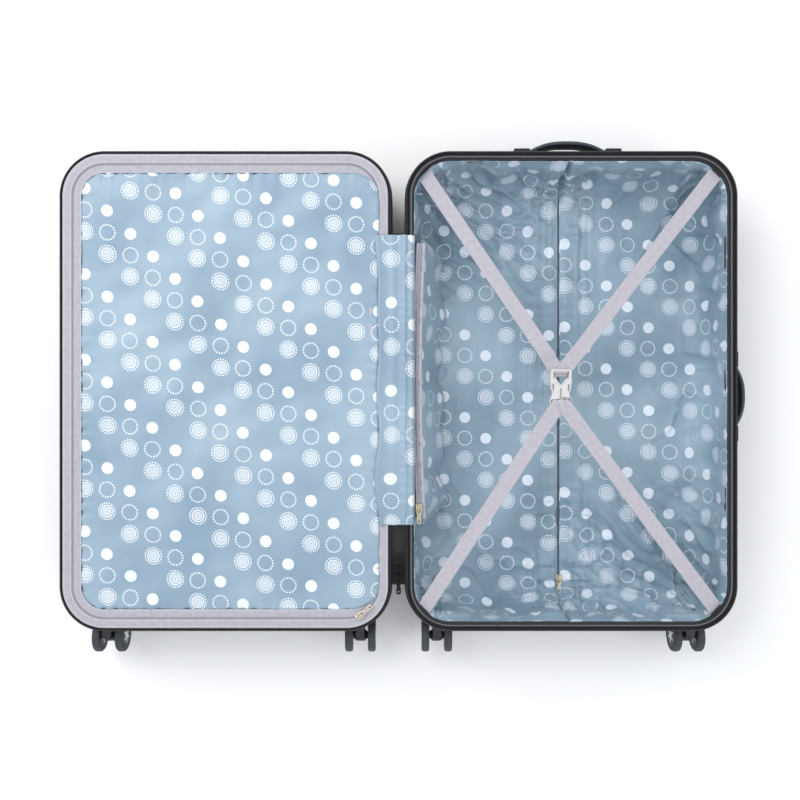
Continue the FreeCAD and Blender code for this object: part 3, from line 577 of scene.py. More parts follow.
@dataclass
class Outline:
    """The rounded rectangle of a case half, in millimetres about its own middle."""

    centre_x: float
    half_w: float = 225.0
    half_h: float = 325.0
    radius: float = 62.0

    def loop(self, count: int) -> tuple[np.ndarray, np.ndarray, np.ndarray, np.ndarray, np.ndarray]:
        """Evenly spaced places round the outline.

        With c the middle of the nearest corner arc or straight and n the outward direction, a point
        inset by d lies at c + (radius - d) n. Both are straight-line functions of the length s.

        Args:
            count: How many places.

        Returns:
            c in x, c in y, n in x, n in y, and s.
        """
        w, h, r = self.half_w - self.radius, self.half_h - self.radius, self.radius
        lengths = [0.0, 2 * h, math.pi / 2 * r, 2 * w, math.pi / 2 * r, 2 * h, math.pi / 2 * r, 2 * w, math.pi / 2 * r]
        stops = np.cumsum(lengths)
        s = np.arange(count) * stops[-1] / count
        cx = np.interp(s, stops, [w, w, w, -w, -w, -w, -w, w, w])
        cy = np.interp(s, stops, [-h, h, h, h, h, -h, -h, -h, -h])
        turn = np.interp(s, stops, [0, 0, 0.5, 0.5, 1, 1, 1.5, 1.5, 2]) * math.pi
        return cx, cy, np.cos(turn), np.sin(turn), s

    def band(
        self, name: str, profile: np.ndarray, kind: Any, count: int = 720, closed: bool = False,
        lift: Optional[np.ndarray] = None, push: Optional[np.ndarray] = None, flip: bool = False,
    ) -> bpy.types.Object:
        """Carry a profile round the outline.

        Args:
            name: The piece's name.
            profile: Insets and heights in millimetres, n by 2.
            kind: The finish.
            count: Places round the outline.
            closed: Whether the profile's last point joins its first.
            lift: Added height in millimetres, n by count.
            push: Added inset in millimetres, n by count.
            flip: Whether the faces are turned over.

        Returns:
            The piece, with u along the outline and v across the profile from its middle.
        """
        cx, cy, nx, ny, s = self.loop(count)
        inset = profile[:, :1] + (0 if push is None else push)
        height = profile[:, 1:] + (0 if lift is None else lift)
        reach = self.radius - inset
        points = np.stack(
            [
                np.broadcast_to(self.centre_x + cx + reach * nx, (len(profile), count)),
                np.broadcast_to(cy + reach * ny, (len(profile), count)),
                np.broadcast_to(height, (len(profile), count)),
            ],
            -1,
        )
        steps = np.hypot(*np.diff(profile, axis=0, append=profile[:1]).T)
        across = np.concatenate([[0.0], np.cumsum(steps)])[: len(profile) + closed]
        across = across - across.mean()
        length = np.append(s, s[-1] + s[1])
        uv = np.stack(np.broadcast_arrays(length[None, :], across[:, None]), -1)
        return grid_piece(name, points * MM, kind, uv * MM, around=True, along=closed, flip=flip)

    def tub_frame(self, a: np.ndarray, b: np.ndarray) -> tuple[np.ndarray, ...]:
        """Where a point of a square lies round the outline.

        On the square's right or left side the length along it is q = |b| / max(|a|, |b|) of half a side
        and half a corner arc, and on the other two p = |a| / max(|a|, |b|) of theirs.

        Args:
            a: First coordinate, -1 to 1.
            b: Second coordinate, -1 to 1.

        Returns:
            c in x, c in y, n in x, n in y, as loop gives them.
        """
        ring = np.maximum(np.maximum(abs(a), abs(b)), 1e-9)
        beside = abs(a) >= abs(b)
        straight = np.where(beside, self.half_h, self.half_w) - self.radius
        s = np.where(beside, abs(b), abs(a)) / ring * (straight + math.pi / 4 * self.radius)
        along = np.minimum(s, straight)
        turn = np.maximum(s - straight, 0) / self.radius
        cx = np.where(beside, self.half_w - self.radius, along)
        cy = np.where(beside, along, self.half_h - self.radius)
        nx = np.where(beside, np.cos(turn), np.sin(turn))
        ny = np.where(beside, np.sin(turn), np.cos(turn))
        return np.sign(a) * cx, np.sign(b) * cy, np.sign(a) * nx, np.sign(b) * ny


def rounded_polygon(corners: Sequence[tuple[float, float, float]], steps: int = 6) -> np.ndarray:
    """Round each corner of a polygon with B(t) = (1-t)^2 P + 2t(1-t) C + t^2 Q.

    Args:
        corners: x, y and rounding length of each corner C.
        steps: Points on each rounding.

    Returns:
        The outline's points, n by 2.
    """
    centre = np.array([c[:2] for c in corners])
    back, ahead = np.roll(centre, 1, 0) - centre, np.roll(centre, -1, 0) - centre
    long_back, long_ahead = np.linalg.norm(back, axis=1), np.linalg.norm(ahead, axis=1)
    cut = np.minimum(np.array([c[2] for c in corners]), 0.48 * np.minimum(long_back, long_ahead))
    start = centre + back * (cut / long_back)[:, None]
    end = centre + ahead * (cut / long_ahead)[:, None]
    t = np.linspace(0, 1, steps)[None, :, None]
    curve = (1 - t) ** 2 * start[:, None] + 2 * t * (1 - t) * centre[:, None] + t**2 * end[:, None]
    return curve.reshape(-1, 2)


def cut_plate(
    name: str, outlines: Sequence[np.ndarray], low: float, high: float, edge: float, kind: Any,
    turn: float = 0.0, at: tuple[float, float] = (0.0, 0.0),
) -> bpy.types.Object:
    """Cut a plate with rounded edges from a flat outline and its holes.

    Args:
        name: The piece's name.
        outlines: The outline and then its holes, in millimetres, n by 2 each.
        low: Lower face in millimetres.
        high: Upper face in millimetres.
        edge: Rounding of the edges in millimetres.
        kind: The finish.
        turn: Turn about Z in radians.
        at: Where its own origin goes, in millimetres.

    Returns:
        The piece, with its place in its mesh.
    """
    curve = bpy.data.curves.new(name, "CURVE")
    curve.dimensions, curve.fill_mode = "2D", "BOTH"
    curve.extrude = ((high - low) / 2 - edge) * MM
    curve.bevel_depth, curve.bevel_resolution, curve.offset = edge * MM, 2, -edge * MM
    for outline in outlines:
        line = curve.splines.new("POLY")
        line.points.add(len(outline) - 1)
        line.points.foreach_set("co", np.c_[outline * MM, np.zeros(len(outline)), np.ones(len(outline))].ravel())
        line.use_cyclic_u = True
    holder = bpy.data.objects.new(name + "_flat", curve)
    bpy.context.scene.collection.objects.link(holder)
    graph = bpy.context.evaluated_depsgraph_get()
    mesh = bpy.data.meshes.new_from_object(holder.evaluated_get(graph))
    bpy.data.objects.remove(holder)
    points = np.empty(len(mesh.vertices) * 3)
    mesh.vertices.foreach_get("co", points)
    points = points.reshape(-1, 3)
    turned = points.copy()
    turned[:, 0] = points[:, 0] * math.cos(turn) - points[:, 1] * math.sin(turn) + at[0] * MM
    turned[:, 1] = points[:, 0] * math.sin(turn) + points[:, 1] * math.cos(turn) + at[1] * MM
    turned[:, 2] += (low + high) / 2 * MM
    mesh.vertices.foreach_set("co", turned.ravel())
    mesh.materials.clear()
    mesh.materials.append(finish(kind))
    mesh.name = name
    piece = bpy.data.objects.new(name, mesh)
    bpy.context.scene.collection.objects.link(piece)
    merge(piece, 1e-6)
    smooth_by_angle(piece, 50)
    return piece


def merge(piece: bpy.types.Object, distance: float) -> None:
    """Join a mesh's doubled points nearer than distance, in metres."""
    work = bmesh.new()
    work.from_mesh(piece.data)
    bmesh.ops.remove_doubles(work, verts=work.verts, dist=distance)
    bmesh.ops.recalc_face_normals(work, faces=work.faces)
    work.to_mesh(piece.data)
    work.free()


def smooth_by_angle(piece: bpy.types.Object, degrees: float) -> None:
    """Shade a mesh smooth except over edges sharper than the angle."""
    piece.data.polygons.foreach_set("use_smooth", np.ones(len(piece.data.polygons), bool))
    piece.data.set_sharp_from_angle(angle=math.radians(degrees))


def softened(node: str, name: str, body: str, kind: Any, width: float, segments: int = 3) -> bpy.types.Object:
    """Stand a copy of a CAD node with rounded edges in its place.

    Args:
        node: The CAD node.
        name: The piece's name.
        body: What it rides on.
        kind: The finish.
        width: Edge rounding in millimetres.
        segments: Steps of the rounding.

    Returns:
        The piece.
    """
    mesh = NODES[node].data.copy()
    mesh.name = name
    mesh.materials.clear()
    mesh.materials.append(finish(kind))
    piece = bpy.data.objects.new(name, mesh)
    bpy.context.scene.collection.objects.link(piece)
    merge(piece, 1e-6)
    mesh.polygons.foreach_set("material_index", np.zeros(len(mesh.polygons), np.int32))
    smooth_by_angle(piece, 32)
    edge = piece.modifiers.new("edge", "BEVEL")
    edge.width, edge.segments, edge.limit_method = width * MM, segments, "ANGLE"
    edge.angle_limit, edge.harden_normals = math.radians(40), True
    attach(piece, body)
    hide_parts(node)
    return piece


def dress(node: str, kind: Any) -> None:
    """Give a CAD node that stays its finish."""
    for holder in NODES[node].material_slots:
        holder.material = finish(kind)
    if not NODES[node].material_slots:
        NODES[node].data.materials.append(finish(kind))


def box_mm(node: str) -> tuple[np.ndarray, np.ndarray]:
    """Lowest and highest corner of a CAD node in millimetres."""
    low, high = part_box(node)
    return np.array(low) / MM, np.array(high) / MM


# ---------------------------------------------------------------- the case halves


class Half(Enum):
    """The two halves of the case and where each one's middle lies in x."""

    BASE = ("base", 0.0)
    LID = ("lid", -467.0)

    @property
    def body(self) -> str:
        """Name of its CAD body."""
        return self.value[0]

    @property
    def centre_x(self) -> float:
        """Its middle in x, in millimetres."""
        return self.value[1]


@dataclass
class ZipCoil:
    """Half of a spiral zip: a nylon coil whose turns stand as ribs."""

    half_wide: float = 1.5
    half_high: float = 1.5
    pitch: float = 2.6

    def round(self, outline: Outline, name: str, inset: float, level: float, kind: Any) -> bpy.types.Object:
        """Carry the coil round a case outline.

        The section is an ellipse, swollen by 1 + 0.16 cos(2 pi s / pitch).

        Args:
            outline: The outline it follows.
            name: The piece's name.
            inset: Its middle's inset in millimetres.
            level: Its middle's height in millimetres.
            kind: The finish.

        Returns:
            The piece.
        """
        count = int(round(2090 / self.pitch)) * 6
        turn = np.linspace(0, 2 * math.pi, 9)[:-1]
        profile = np.stack([inset - self.half_wide * np.cos(turn), level + self.half_high * np.sin(turn)], 1)
        swell = 0.16 * np.cos(2 * math.pi * np.arange(count) / 6)
        lift = self.half_high * np.sin(turn)[:, None] * swell
        push = -self.half_wide * np.cos(turn)[:, None] * swell
        return outline.band(name, profile, kind, count, True, lift, push, flip=False)

    def straight(
        self, name: str, y: tuple[float, float], x_of: Any, level: float, kind: Any
    ) -> bpy.types.Object:
        """Lay the whole chain along Y, its middle at x_of(y).

        Args:
            name: The piece's name.
            y: Start and end in millimetres.
            x_of: Function of y giving the middle in x.
            level: Its middle's height in millimetres.
            kind: The finish.

        Returns:
            The piece.
        """
        count = int((y[1] - y[0]) / self.pitch) * 6 + 1
        run = np.linspace(y[0], y[1], count)
        turn = np.linspace(0, 2 * math.pi, 11)[:-1]
        swell = 1 + 0.16 * np.cos(2 * math.pi * np.arange(count) / 6)
        swell[0] = swell[-1] = 0.05
        x = x_of(run)[:, None] + self.half_wide * np.cos(turn) * swell[:, None]
        z = level + self.half_high * np.sin(turn) * swell[:, None]
        points = np.stack([x, np.broadcast_to(run[:, None], x.shape), z], -1)
        return grid_piece(name, points * MM, kind, around=True)


@dataclass
class CaseHalf:
    """One half of the case: formed shell, zip chain, bound rim with its piping, caster housings and screws."""

    half: Half
    rim_top: float = 129.7
    binding_inset: float = 4.2
    binding_wide: float = 5.2
    piping_radius: float = 1.25
    piping_inset: float = 8.0

    def build(self) -> list[bpy.types.Object]:
        """Build and dress the half's hard parts and rim trim."""
        name = self.half.body
        outline = Outline(self.half.centre_x)
        dress(name + "_shell", SHELL)
        dress(name + "_caster_screws", STEEL)
        for side in ("left", "right"):
            dress(f"{name}_{side}_caster_housing", TRIM)
        chain = ZipCoil(1.5, 1.75, 2.6).round(outline, name + "_main_zip_coil", 2.7, self.rim_top - 1.9, ZIP_COIL_BLACK)
        tape = outline.band(
            name + "_main_zip_tape",
            np.array([[1.5, 127.0], [1.9, 122.0], [3.0, 119.0], [3.2, 108.0], [4.1, 108.0], [4.1, 126.0], [3.4, 127.4]]),
            BINDING, 720, True, flip=True,
        )
        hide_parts(name + "_zip_chain")
        pieces = [chain, tape, self.binding(outline), self.piping(outline)]
        for piece in pieces:
            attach(piece, name)
        return pieces

    def binding(self, outline: Outline) -> bpy.types.Object:
        """Fold the woven binding over the rim: up the outside, a rounded top, down the inside."""
        t = np.linspace(0, math.pi, 9)
        mid, reach = self.binding_inset + self.binding_wide / 2, self.binding_wide / 2
        top = np.stack([mid - reach * np.cos(t), 124.6 + 2.6 * np.sin(t)], 1)
        low = np.array([[mid + reach + 0.3, 118.0], [mid + reach - 0.2, 111.0], [mid + reach - 1.2, 104.5]])
        out = np.array([[self.binding_inset + 0.2, 104.5], [self.binding_inset, 115.0]])
        profile = np.concatenate([out, top, low])
        s = np.arange(900)[None, :] * 2.35
        lift = 0.12 * soft_noise(3, s, 0 * s, 9, 60) * np.ones((len(profile), 1))
        piece = outline.band(outline_name(self.half, "rim_binding_tape"), profile, BINDING, 900, True, lift, flip=True)
        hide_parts(self.half.body + "_rim_binding")
        return piece

    def piping(self, outline: Outline) -> bpy.types.Object:
        """Run the satin piping bead along the inner edge of the binding; its grey colour is a painted highlight, the
        light line the shiny bead catches along the rim.
        """
        t = np.linspace(0, 2 * math.pi, 11)[:-1]
        across, height = self.piping_radius * np.cos(t), self.piping_radius * np.sin(t)
        profile = np.stack([self.piping_inset - across, 127.0 + height], 1)
        return outline.band(outline_name(self.half, "rim_piping"), profile, HIGHLIGHT_PIPING, 720, True, flip=False)


def outline_name(half: Half, text: str) -> str:
    """Name a piece after its half."""
    return f"{half.body}_{text}"


@dataclass
class TubLining:
    """A printed satin lining hung in a case half, cut larger than the shell and gathered to a middle zip."""

    half: Half
    floor: float = 28.0
    side_inset: float = 6.5
    corner: float = 32.0
    top: float = 121.0
    lean: float = 6.4
    fold: float = 1.0
    gathers: float = 1.0
    seed: int = 11
    seam_shift: tuple[float, float] = (-23.1, -12.6)
    housing_front: float = -305.6

    def build(self) -> bpy.types.Object:
        """Work out the lining as one grid: a floor block and rings up the wall.

        Wall: arc length L up from the floor edge, first round the corner of radius R with
        inset = side + R (1 - sin(L/R)) and z = floor + R (1 - cos(L/R)), then straight up, leaning in.
        Folds push it along its inward normal.
        """
        outline = Outline(self.half.centre_x)
        rings, wide, long = 46, 124, 184
        split = 0.6
        a, b = self.rows(wide, rings, split), self.rows(long, rings, split)
        a, b = np.meshgrid(a, b, indexing="xy")
        cx, cy, nx, ny = outline.tub_frame(a, b)
        ring = np.maximum(abs(a), abs(b))
        edge_inset = self.side_inset + self.corner
        span = self.corner * math.pi / 2 + self.top - self.floor - self.corner
        up = np.clip((ring - split) / (1 - split), 0, 1) * span
        bend = np.minimum(up / self.corner, math.pi / 2)
        rise = np.maximum(up - self.corner * math.pi / 2, 0)
        lean = self.lean * (rise / max(self.top - self.floor - self.corner, 1)) ** 2
        inset = edge_inset - self.corner * np.sin(bend) + lean
        height = self.floor + self.corner * (1 - np.cos(bend)) + rise
        scale = np.minimum(ring / split, 1)
        x = (cx + (outline.radius - inset) * nx) * scale
        y = (cy + (outline.radius - inset) * ny) * scale
        u = (cx + (outline.radius - edge_inset) * nx) * scale + nx * up
        v = (cy + (outline.radius - edge_inset) * ny) * scale + ny * up
        push = self.folds(x, y, nx, ny, up, span, ring, scale)
        fade = np.sin(bend)
        x = x - nx * push * fade + outline.centre_x
        y = y - ny * push * fade
        z = height + push * np.cos(bend)
        y = self.over_housings(x - outline.centre_x, y, z)
        right = np.clip(x - outline.centre_x, 0, 1)
        uv = np.stack([u + self.seam_shift[0] * right, v + self.seam_shift[1] * right], -1)
        points = np.stack([x, y, z], -1) * MM
        piece = grid_piece(self.half.body + "_lining_cloth", points, SHADED_LINING_PRINT, uv * MM)
        thicken(piece, 0.8)
        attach(piece, self.half.body)
        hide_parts(self.half.body + "_lining")
        return piece

    def over_housings(self, x: np.ndarray, y: np.ndarray, z: np.ndarray) -> np.ndarray:
        """Hold the cloth clear of the two caster housings sunk in the end wall.

        The limit on y is the housings' front within 38 mm of their middles and below 106 mm, and eases
        back to the wall over 20 mm sideways and 13 mm upwards.

        Args:
            x: Place across the half.
            y: Place along it.
            z: Height.

        Returns:
            y, never behind the limit.
        """
        beside = np.clip((58 - abs(abs(x) - 175)) / 20, 0, 1)
        below = np.clip((119 - z) / 13, 0, 1)
        near = beside * beside * (3 - 2 * beside) * below * below * (3 - 2 * below)
        return np.maximum(y, self.housing_front - 24 * (1 - near))

    def rows(self, block: int, rings: int, split: float) -> np.ndarray:
        """Spread grid lines from -1 to 1: rings on each side and an even block between -split and split."""
        wall = np.linspace(split, 1, rings + 1)[1:]
        return np.concatenate([-wall[::-1], np.linspace(-split, split, block + 1), wall])

    def folds(
        self, x: np.ndarray, y: np.ndarray, nx: np.ndarray, ny: np.ndarray,
        up: np.ndarray, span: float, ring: np.ndarray, scale: np.ndarray,
    ) -> np.ndarray:
        """Height of the cloth's folds in millimetres, never below zero.

        Args:
            x: Place on the tub before folding.
            y: Place on the tub before folding.
            nx: Outward direction.
            ny: Outward direction.
            up: Length up the wall from the floor's edge.
            span: The wall's whole length.
            ring: How far out the point is, 0 to 1.
            scale: How far out on the floor, 0 to 1.

        Returns:
            The push along the inward normal.
        """
        off = abs(x)
        ends = 0.55 + 0.75 * np.clip((abs(y) - 90) / 160, 0, 1)
        pulled = creases(soft_noise(self.seed, 0.15 * x, y, 13, 38, 12, math.pi / 2, 0.12), 0.5)
        gather = 6.0 * self.gathers * pulled * ends * np.exp(-np.maximum(off - 9, 0) / 30) * np.clip((off - 5) / 7, 0, 1)
        stripes = creases(soft_noise(self.seed + 7, x, 0.2 * y, 12, 30, 12, 0.0, 0.14), 0.45)
        gather = gather + 5.5 * self.gathers * stripes * ends * np.exp(-(((off - 30) / 20) ** 2))
        slanted = creases(soft_noise(self.seed + 6, x, y, 30, 80, 12, 0.9, 0.18), 0.4)
        reach = np.clip((y * np.where(x < 0, 1, -1) - 90) / 110, 0, 1)
        gather = gather + 8.0 * self.gathers * slanted * reach * np.clip((off - 8) / 25, 0, 1)
        uneven = 0.6 + 0.4 * soft_noise(self.seed + 1, x, y, 90, 220)
        swell = 2.6 * self.gathers * np.exp(-((off - 24) / 16) ** 2) * uneven
        soft = 2.2 * (1 + soft_noise(self.seed + 2, x, y, 70, 210, 14)) * scale
        tubes = 1.6 * np.exp(-(((off - 75) / 13) ** 4))
        corner = np.clip(abs(nx * ny) * 2, 0, 1) ** 0.8
        turn = np.arctan2(abs(ny), abs(nx)) * 100
        wave = soft_noise(self.seed + 3, turn, 0.35 * up + np.sign(x) * 40 + np.sign(y) * 90, 20, 48, 12, 0.15, 0.25)
        gusset = 7.5 * creases(wave, 0.45) * corner * np.clip(ring / 0.45, 0, 1) ** 2
        ease = np.sin(math.pi * np.clip(up / span, 0, 1)) ** 0.7
        along = np.where(abs(nx) > abs(ny), y, x)
        hung = soft_noise(self.seed + 4, along, 0.5 * up, 44, 150, 12, 0.2, 0.25)
        wall = (3.6 * creases(hung, 0.5) + 2.6 * (1 + hung)) * ease
        floor_end = np.clip((scale - 0.55) / 0.45, 0, 1)
        settle = 3.6 * creases(soft_noise(self.seed + 5, x, y, 50, 130, 14), 0.28) * floor_end * (1 - 0.5 * ease)
        gather = gather * np.clip((1 - ring) / 0.3, 0, 1)
        total = gather + swell + soft + tubes + self.fold * (gusset * (0.35 + 0.65 * ease) + wall + settle)
        return np.maximum(total * np.clip((1 - ring) / 0.05, 0, 1) + 0.4, 0.2) * np.clip(off / 5, 0.0, 1.0)


@dataclass
class Divider:
    """The zipped divider of the lid: a printed panel in a light zip tape, and the matching tape on the lid."""

    half_w: float = 194.0
    half_h: float = 294.0
    corner: float = 31.0
    level: float = 128.6
    overhang: float = 13.0

    def build(self) -> list[bpy.types.Object]:
        """Build the panel, the tapes and the two halves of the coil."""
        outline = Outline(Half.LID.centre_x)
        pieces = [self.panel(outline)]
        inner = self.tape(outline, "divider_zip_tape", 20.4, 31.0, SEWN_TAPE, 7)
        outer = self.tape(outline, "lid_divider_zip_tape", 5.6, 18.3, SEWN_TAPE, 8)
        coil = ZipCoil(1.0, 1.0, 2.2)
        inner_coil = coil.round(outline, "divider_zip_coil", 20.2, 129.0, ZIP_COIL_GREY)
        outer_coil = coil.round(outline, "lid_divider_zip_coil", 18.4, 129.0, ZIP_COIL_GREY)
        for piece, body, node in (
            (inner, "divider", "divider_zip"), (inner_coil, "divider", "divider_zip"),
            (outer, "lid", "lid_divider_zip"), (outer_coil, "lid", "lid_divider_zip"),
        ):
            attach(piece, body)
            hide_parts(node)
            pieces.append(piece)
        return pieces

    def panel(self, outline: Outline) -> bpy.types.Object:
        """Make the panel: scaled rings of its rounded rectangle on a square grid, softly waved and puckered.

        z = level + broad slanting waves + puckers that die out 10 mm from the sewn edge. On the hinge side
        the cloth laps over its tape by the overhang times the square of how near its edge the point is.
        """
        wide, long = 130, 196
        a, b = np.meshgrid(np.linspace(-1, 1, wide + 1), np.linspace(-1, 1, long + 1), indexing="xy")
        cx, cy, nx, ny = outline.tub_frame(a, b)
        ring = np.maximum(abs(a), abs(b))
        inset = 225 - self.half_w
        x = (cx + (outline.radius - inset) * nx) * ring
        y = (cy + (outline.radius - inset) * ny) * ring
        over = np.clip((x - 120) / (self.half_w - 120), 0, 1)
        edge = np.minimum(self.half_w - abs(x), self.half_h - abs(y))
        along = np.where(abs(a) >= abs(b), y, x)
        waves = 1.5 * soft_noise(21, x, y, 75, 190, 14, 2.4, 0.3) + 0.5 * soft_noise(22, x, y, 40, 90, 14, 2.3, 0.5)
        pucker = soft_noise(23, along, 0 * along, 9, 24, 16) * np.exp(-np.maximum(edge, 0) / 9)
        z = self.level + waves * np.clip(edge / 35, 0, 1) + 0.75 * pucker + 2.4 * over**2
        x = x + self.overhang * over**2
        points = np.stack([x + outline.centre_x, y, z], -1) * MM
        piece = grid_piece("divider_panel_cloth", points, PANEL_PRINT, np.stack([x, y], -1) * MM)
        thicken(piece, 0.8)
        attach(piece, "divider")
        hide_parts("divider_panel")
        return piece

    def tape(
        self, outline: Outline, name: str, start: float, end: float, kind: Any, seed: int
    ) -> bpy.types.Object:
        """Lay a zip tape flat round the outline between two insets, with a slight sewn ripple."""
        insets = np.linspace(start, end, 9)
        crown = 0.35 * np.sin(np.linspace(0, math.pi, 9))
        profile = np.stack([insets, 128.3 + crown], 1)
        s = np.arange(1040)[None, :] * 2.0
        ripple = soft_noise(seed, s, 0 * s, 12, 34, 16) * 0.22 * np.linspace(0.2, 1, 9)[:, None]
        return thicken(outline.band(name, profile, kind, 1040, False, ripple, flip=True), 0.9)


@dataclass
class HingeGusset:
    """What covers the hinge: black tape between the halves, the lining flap, the side pocket and its zip."""

    hinge_x: float = -233.5
    low: float = -180.0
    high: float = 210.0

    def build(self) -> list[bpy.types.Object]:
        """Build the tape, flap, pocket and pocket zip."""
        pieces = [self.strip(), self.flap(), self.pocket()]
        coil = ZipCoil(1.6, 1.3, 2.4).straight(
            "pocket_zip_coil", (-172, 200), self.zip_x, 121.6, ZIP_COIL_GREY
        )
        tape = self.zip_tape()
        for piece in (coil, tape):
            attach(piece, "base")
            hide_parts("pocket_zip")
        return pieces + [coil, tape]

    def zip_x(self, y: np.ndarray) -> np.ndarray:
        """Middle of the pocket zip, bowed towards the wall: x = -208.4 + 5 ((y - 18) / 182)^2."""
        return -208.4 + 5.0 * ((y - 18.0) / 182.0) ** 2

    def strip(self) -> bpy.types.Object:
        """Make the ribbed black hinge tape, sagging a little between the halves."""
        low, high = box_mm("hinge_strip")
        x = np.linspace(low[0], high[0], 13)
        y = np.linspace(low[1], high[1], 240)
        gx, gy = np.meshgrid(x, y, indexing="xy")
        part = (gx - self.hinge_x) / (high[0] - self.hinge_x)
        z = high[2] + 0.5 - 2.2 * (1 - part**2) + 0.25 * np.cos(2 * math.pi * gy / 3.2)
        uv = np.stack([gy, gx - self.hinge_x], -1) * MM
        piece = grid_piece("hinge_tape", np.stack([gx, gy, z], -1) * MM, HINGE_WEB, uv)
        thicken(piece, 1.0)
        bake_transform(piece)
        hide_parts("hinge_strip")
        return piece

    def flap(self) -> bpy.types.Object:
        """Make the lining flap over the hinge: a folded outer edge, a puckered seam and a hem at its foot.

        z = 131.4 + 1.4 exp(-(d/9)^2) at the fold + vertical buckles that deepen away from the seam,
        falling to the pocket zip beyond the base's rim.
        """
        x = np.linspace(-262.5, -211.5, 58)
        y = np.linspace(self.low, self.high, 300)
        gx, gy = np.meshgrid(x, y, indexing="xy")
        drift = 2.2 * soft_noise(31, gy, 0 * gy, 90, 240, 8)
        edge = gx + drift * np.clip((-235 - gx) / 27, 0, 1)
        seam = np.exp(-(((gx + 221.0 + 0.3 * drift) / 2.2) ** 2))
        buckle = soft_noise(32, gx, 0.09 * gy, 11, 34, 14, 0.1, 0.2)
        pucker = soft_noise(33, 0.4 * gx, gy, 8, 22, 14, math.pi / 2, 0.3)
        fold = 1.5 * np.exp(-(((gx + 260.0) / 5.0) ** 2))
        drawn = 0.35 * pucker * np.exp(-(((gx + 221.0) / 9) ** 2))
        z = 131.6 + 0.9 * (1 + buckle) * (1 - seam) + drawn - 0.9 * seam + fold
        over = np.clip((gx + 215.5) / 4.0, 0, 1)
        z = z - 9.0 * over**1.6
        hem = np.clip((self.low + 9 - gy) / 9, 0, 1)
        z = z + 0.5 * np.sin(math.pi * np.clip((gy - self.low) / 9, 0, 1)) - 0.5 * hem
        curl = np.clip((-258.5 - gx) / 4, 0, 1)
        z = z - 2.0 * curl**2
        points = np.stack([edge, gy, z], -1) * MM
        piece = grid_piece("hinge_flap_cloth", points, FLAP_PRINT, np.stack([gx - self.hinge_x, gy], -1) * MM)
        thicken(piece, 0.8)
        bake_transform(piece)
        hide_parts("hinge_flap")
        return piece

    def pocket(self) -> bpy.types.Object:
        """Make the pocket's slack front, hanging from its zip and flaring into the case.

        Down the panel by d of its length: x = zip + 6 + 36 (0.35 d + 0.65 d^1.3), z = 121 - 88 d, pushed out
        by fans of folds that deepen as they fall.
        """
        d = np.linspace(0, 1, 72)
        y = np.linspace(self.low - 2, self.high - 3, 260)
        gd, gy = np.meshgrid(d, y, indexing="xy")
        top = self.zip_x(gy) + 1.0
        fan = soft_noise(41, gy * (1 - 0.12 * gd), 22 * gd, 38, 120, 14, 0.1, 0.25)
        fine = soft_noise(42, gy, 10 * gd, 12, 30, 14, 0.0, 0.2)
        push = (3.4 * (1 + fan) + 2.0 * creases(fan, 0.35)) * gd**0.8 + 0.9 * fine * (1 - gd)
        ends = np.clip(np.minimum(gy - self.low + 4, self.high - gy) / 26, 0, 1) ** 0.7
        reach = 32 * (0.35 * gd + 0.65 * gd**1.3) * (0.35 + 0.65 * ends)
        x = top + reach + push * (0.3 + 0.7 * ends) * 0.8
        z = 121.2 - 88 * gd + 0.25 * push
        uv = np.stack([90 * gd, gy], -1) * MM
        piece = grid_piece("hinge_pocket_cloth", np.stack([x, gy, z], -1) * MM, SHADED_LINING_PRINT, uv, flip=True)
        thicken(piece, 0.8)
        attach(piece, "base")
        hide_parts("hinge_pocket")
        return piece

    def zip_tape(self) -> bpy.types.Object:
        """Lay the pocket zip's tape under its coil, from the wall to the pocket's edge."""
        across = np.linspace(-5.5, 6.5, 9)
        y = np.linspace(-173, 201, 200)
        gx, gy = np.meshgrid(across, y, indexing="xy")
        z = 120.5 + 0.25 * soft_noise(44, gy, gx, 12, 30, 12) 
        points = np.stack([self.zip_x(gy) + gx, gy, z], -1) * MM
        return thicken(grid_piece("pocket_zip_tape", points, ZIP_TAPE, np.stack([gy, gx], -1) * MM), 0.8)


@dataclass
class FloorZip:
    """The long zip down the middle of the base lining."""

    end: float = 299.0
    level: float = 27.2

    def build(self) -> list[bpy.types.Object]:
        """Build the sunk tape and the slate coil on it."""
        across = np.linspace(-5.2, 5.2, 9)
        y = np.linspace(-self.end, self.end, 300)
        gx, gy = np.meshgrid(across, y, indexing="xy")
        z = self.level + 1.2 + 0.2 * soft_noise(51, gy, gx, 14, 40, 12)
        points = np.stack([gx, gy, z], -1) * MM
        tape = thicken(grid_piece("floor_zip_tape", points, DARK_TAPE, np.stack([gy, gx], -1) * MM), 0.8)
        coil = ZipCoil(1.4, 1.1, 2.4).straight(
            "floor_zip_coil", (-self.end, self.end), lambda run: 0.0 * run, self.level + 1.5, ZIP_COIL_SLATE
        )
        for piece in (tape, coil):
            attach(piece, "base")
            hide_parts("floor_zip")
        return [tape, coil]


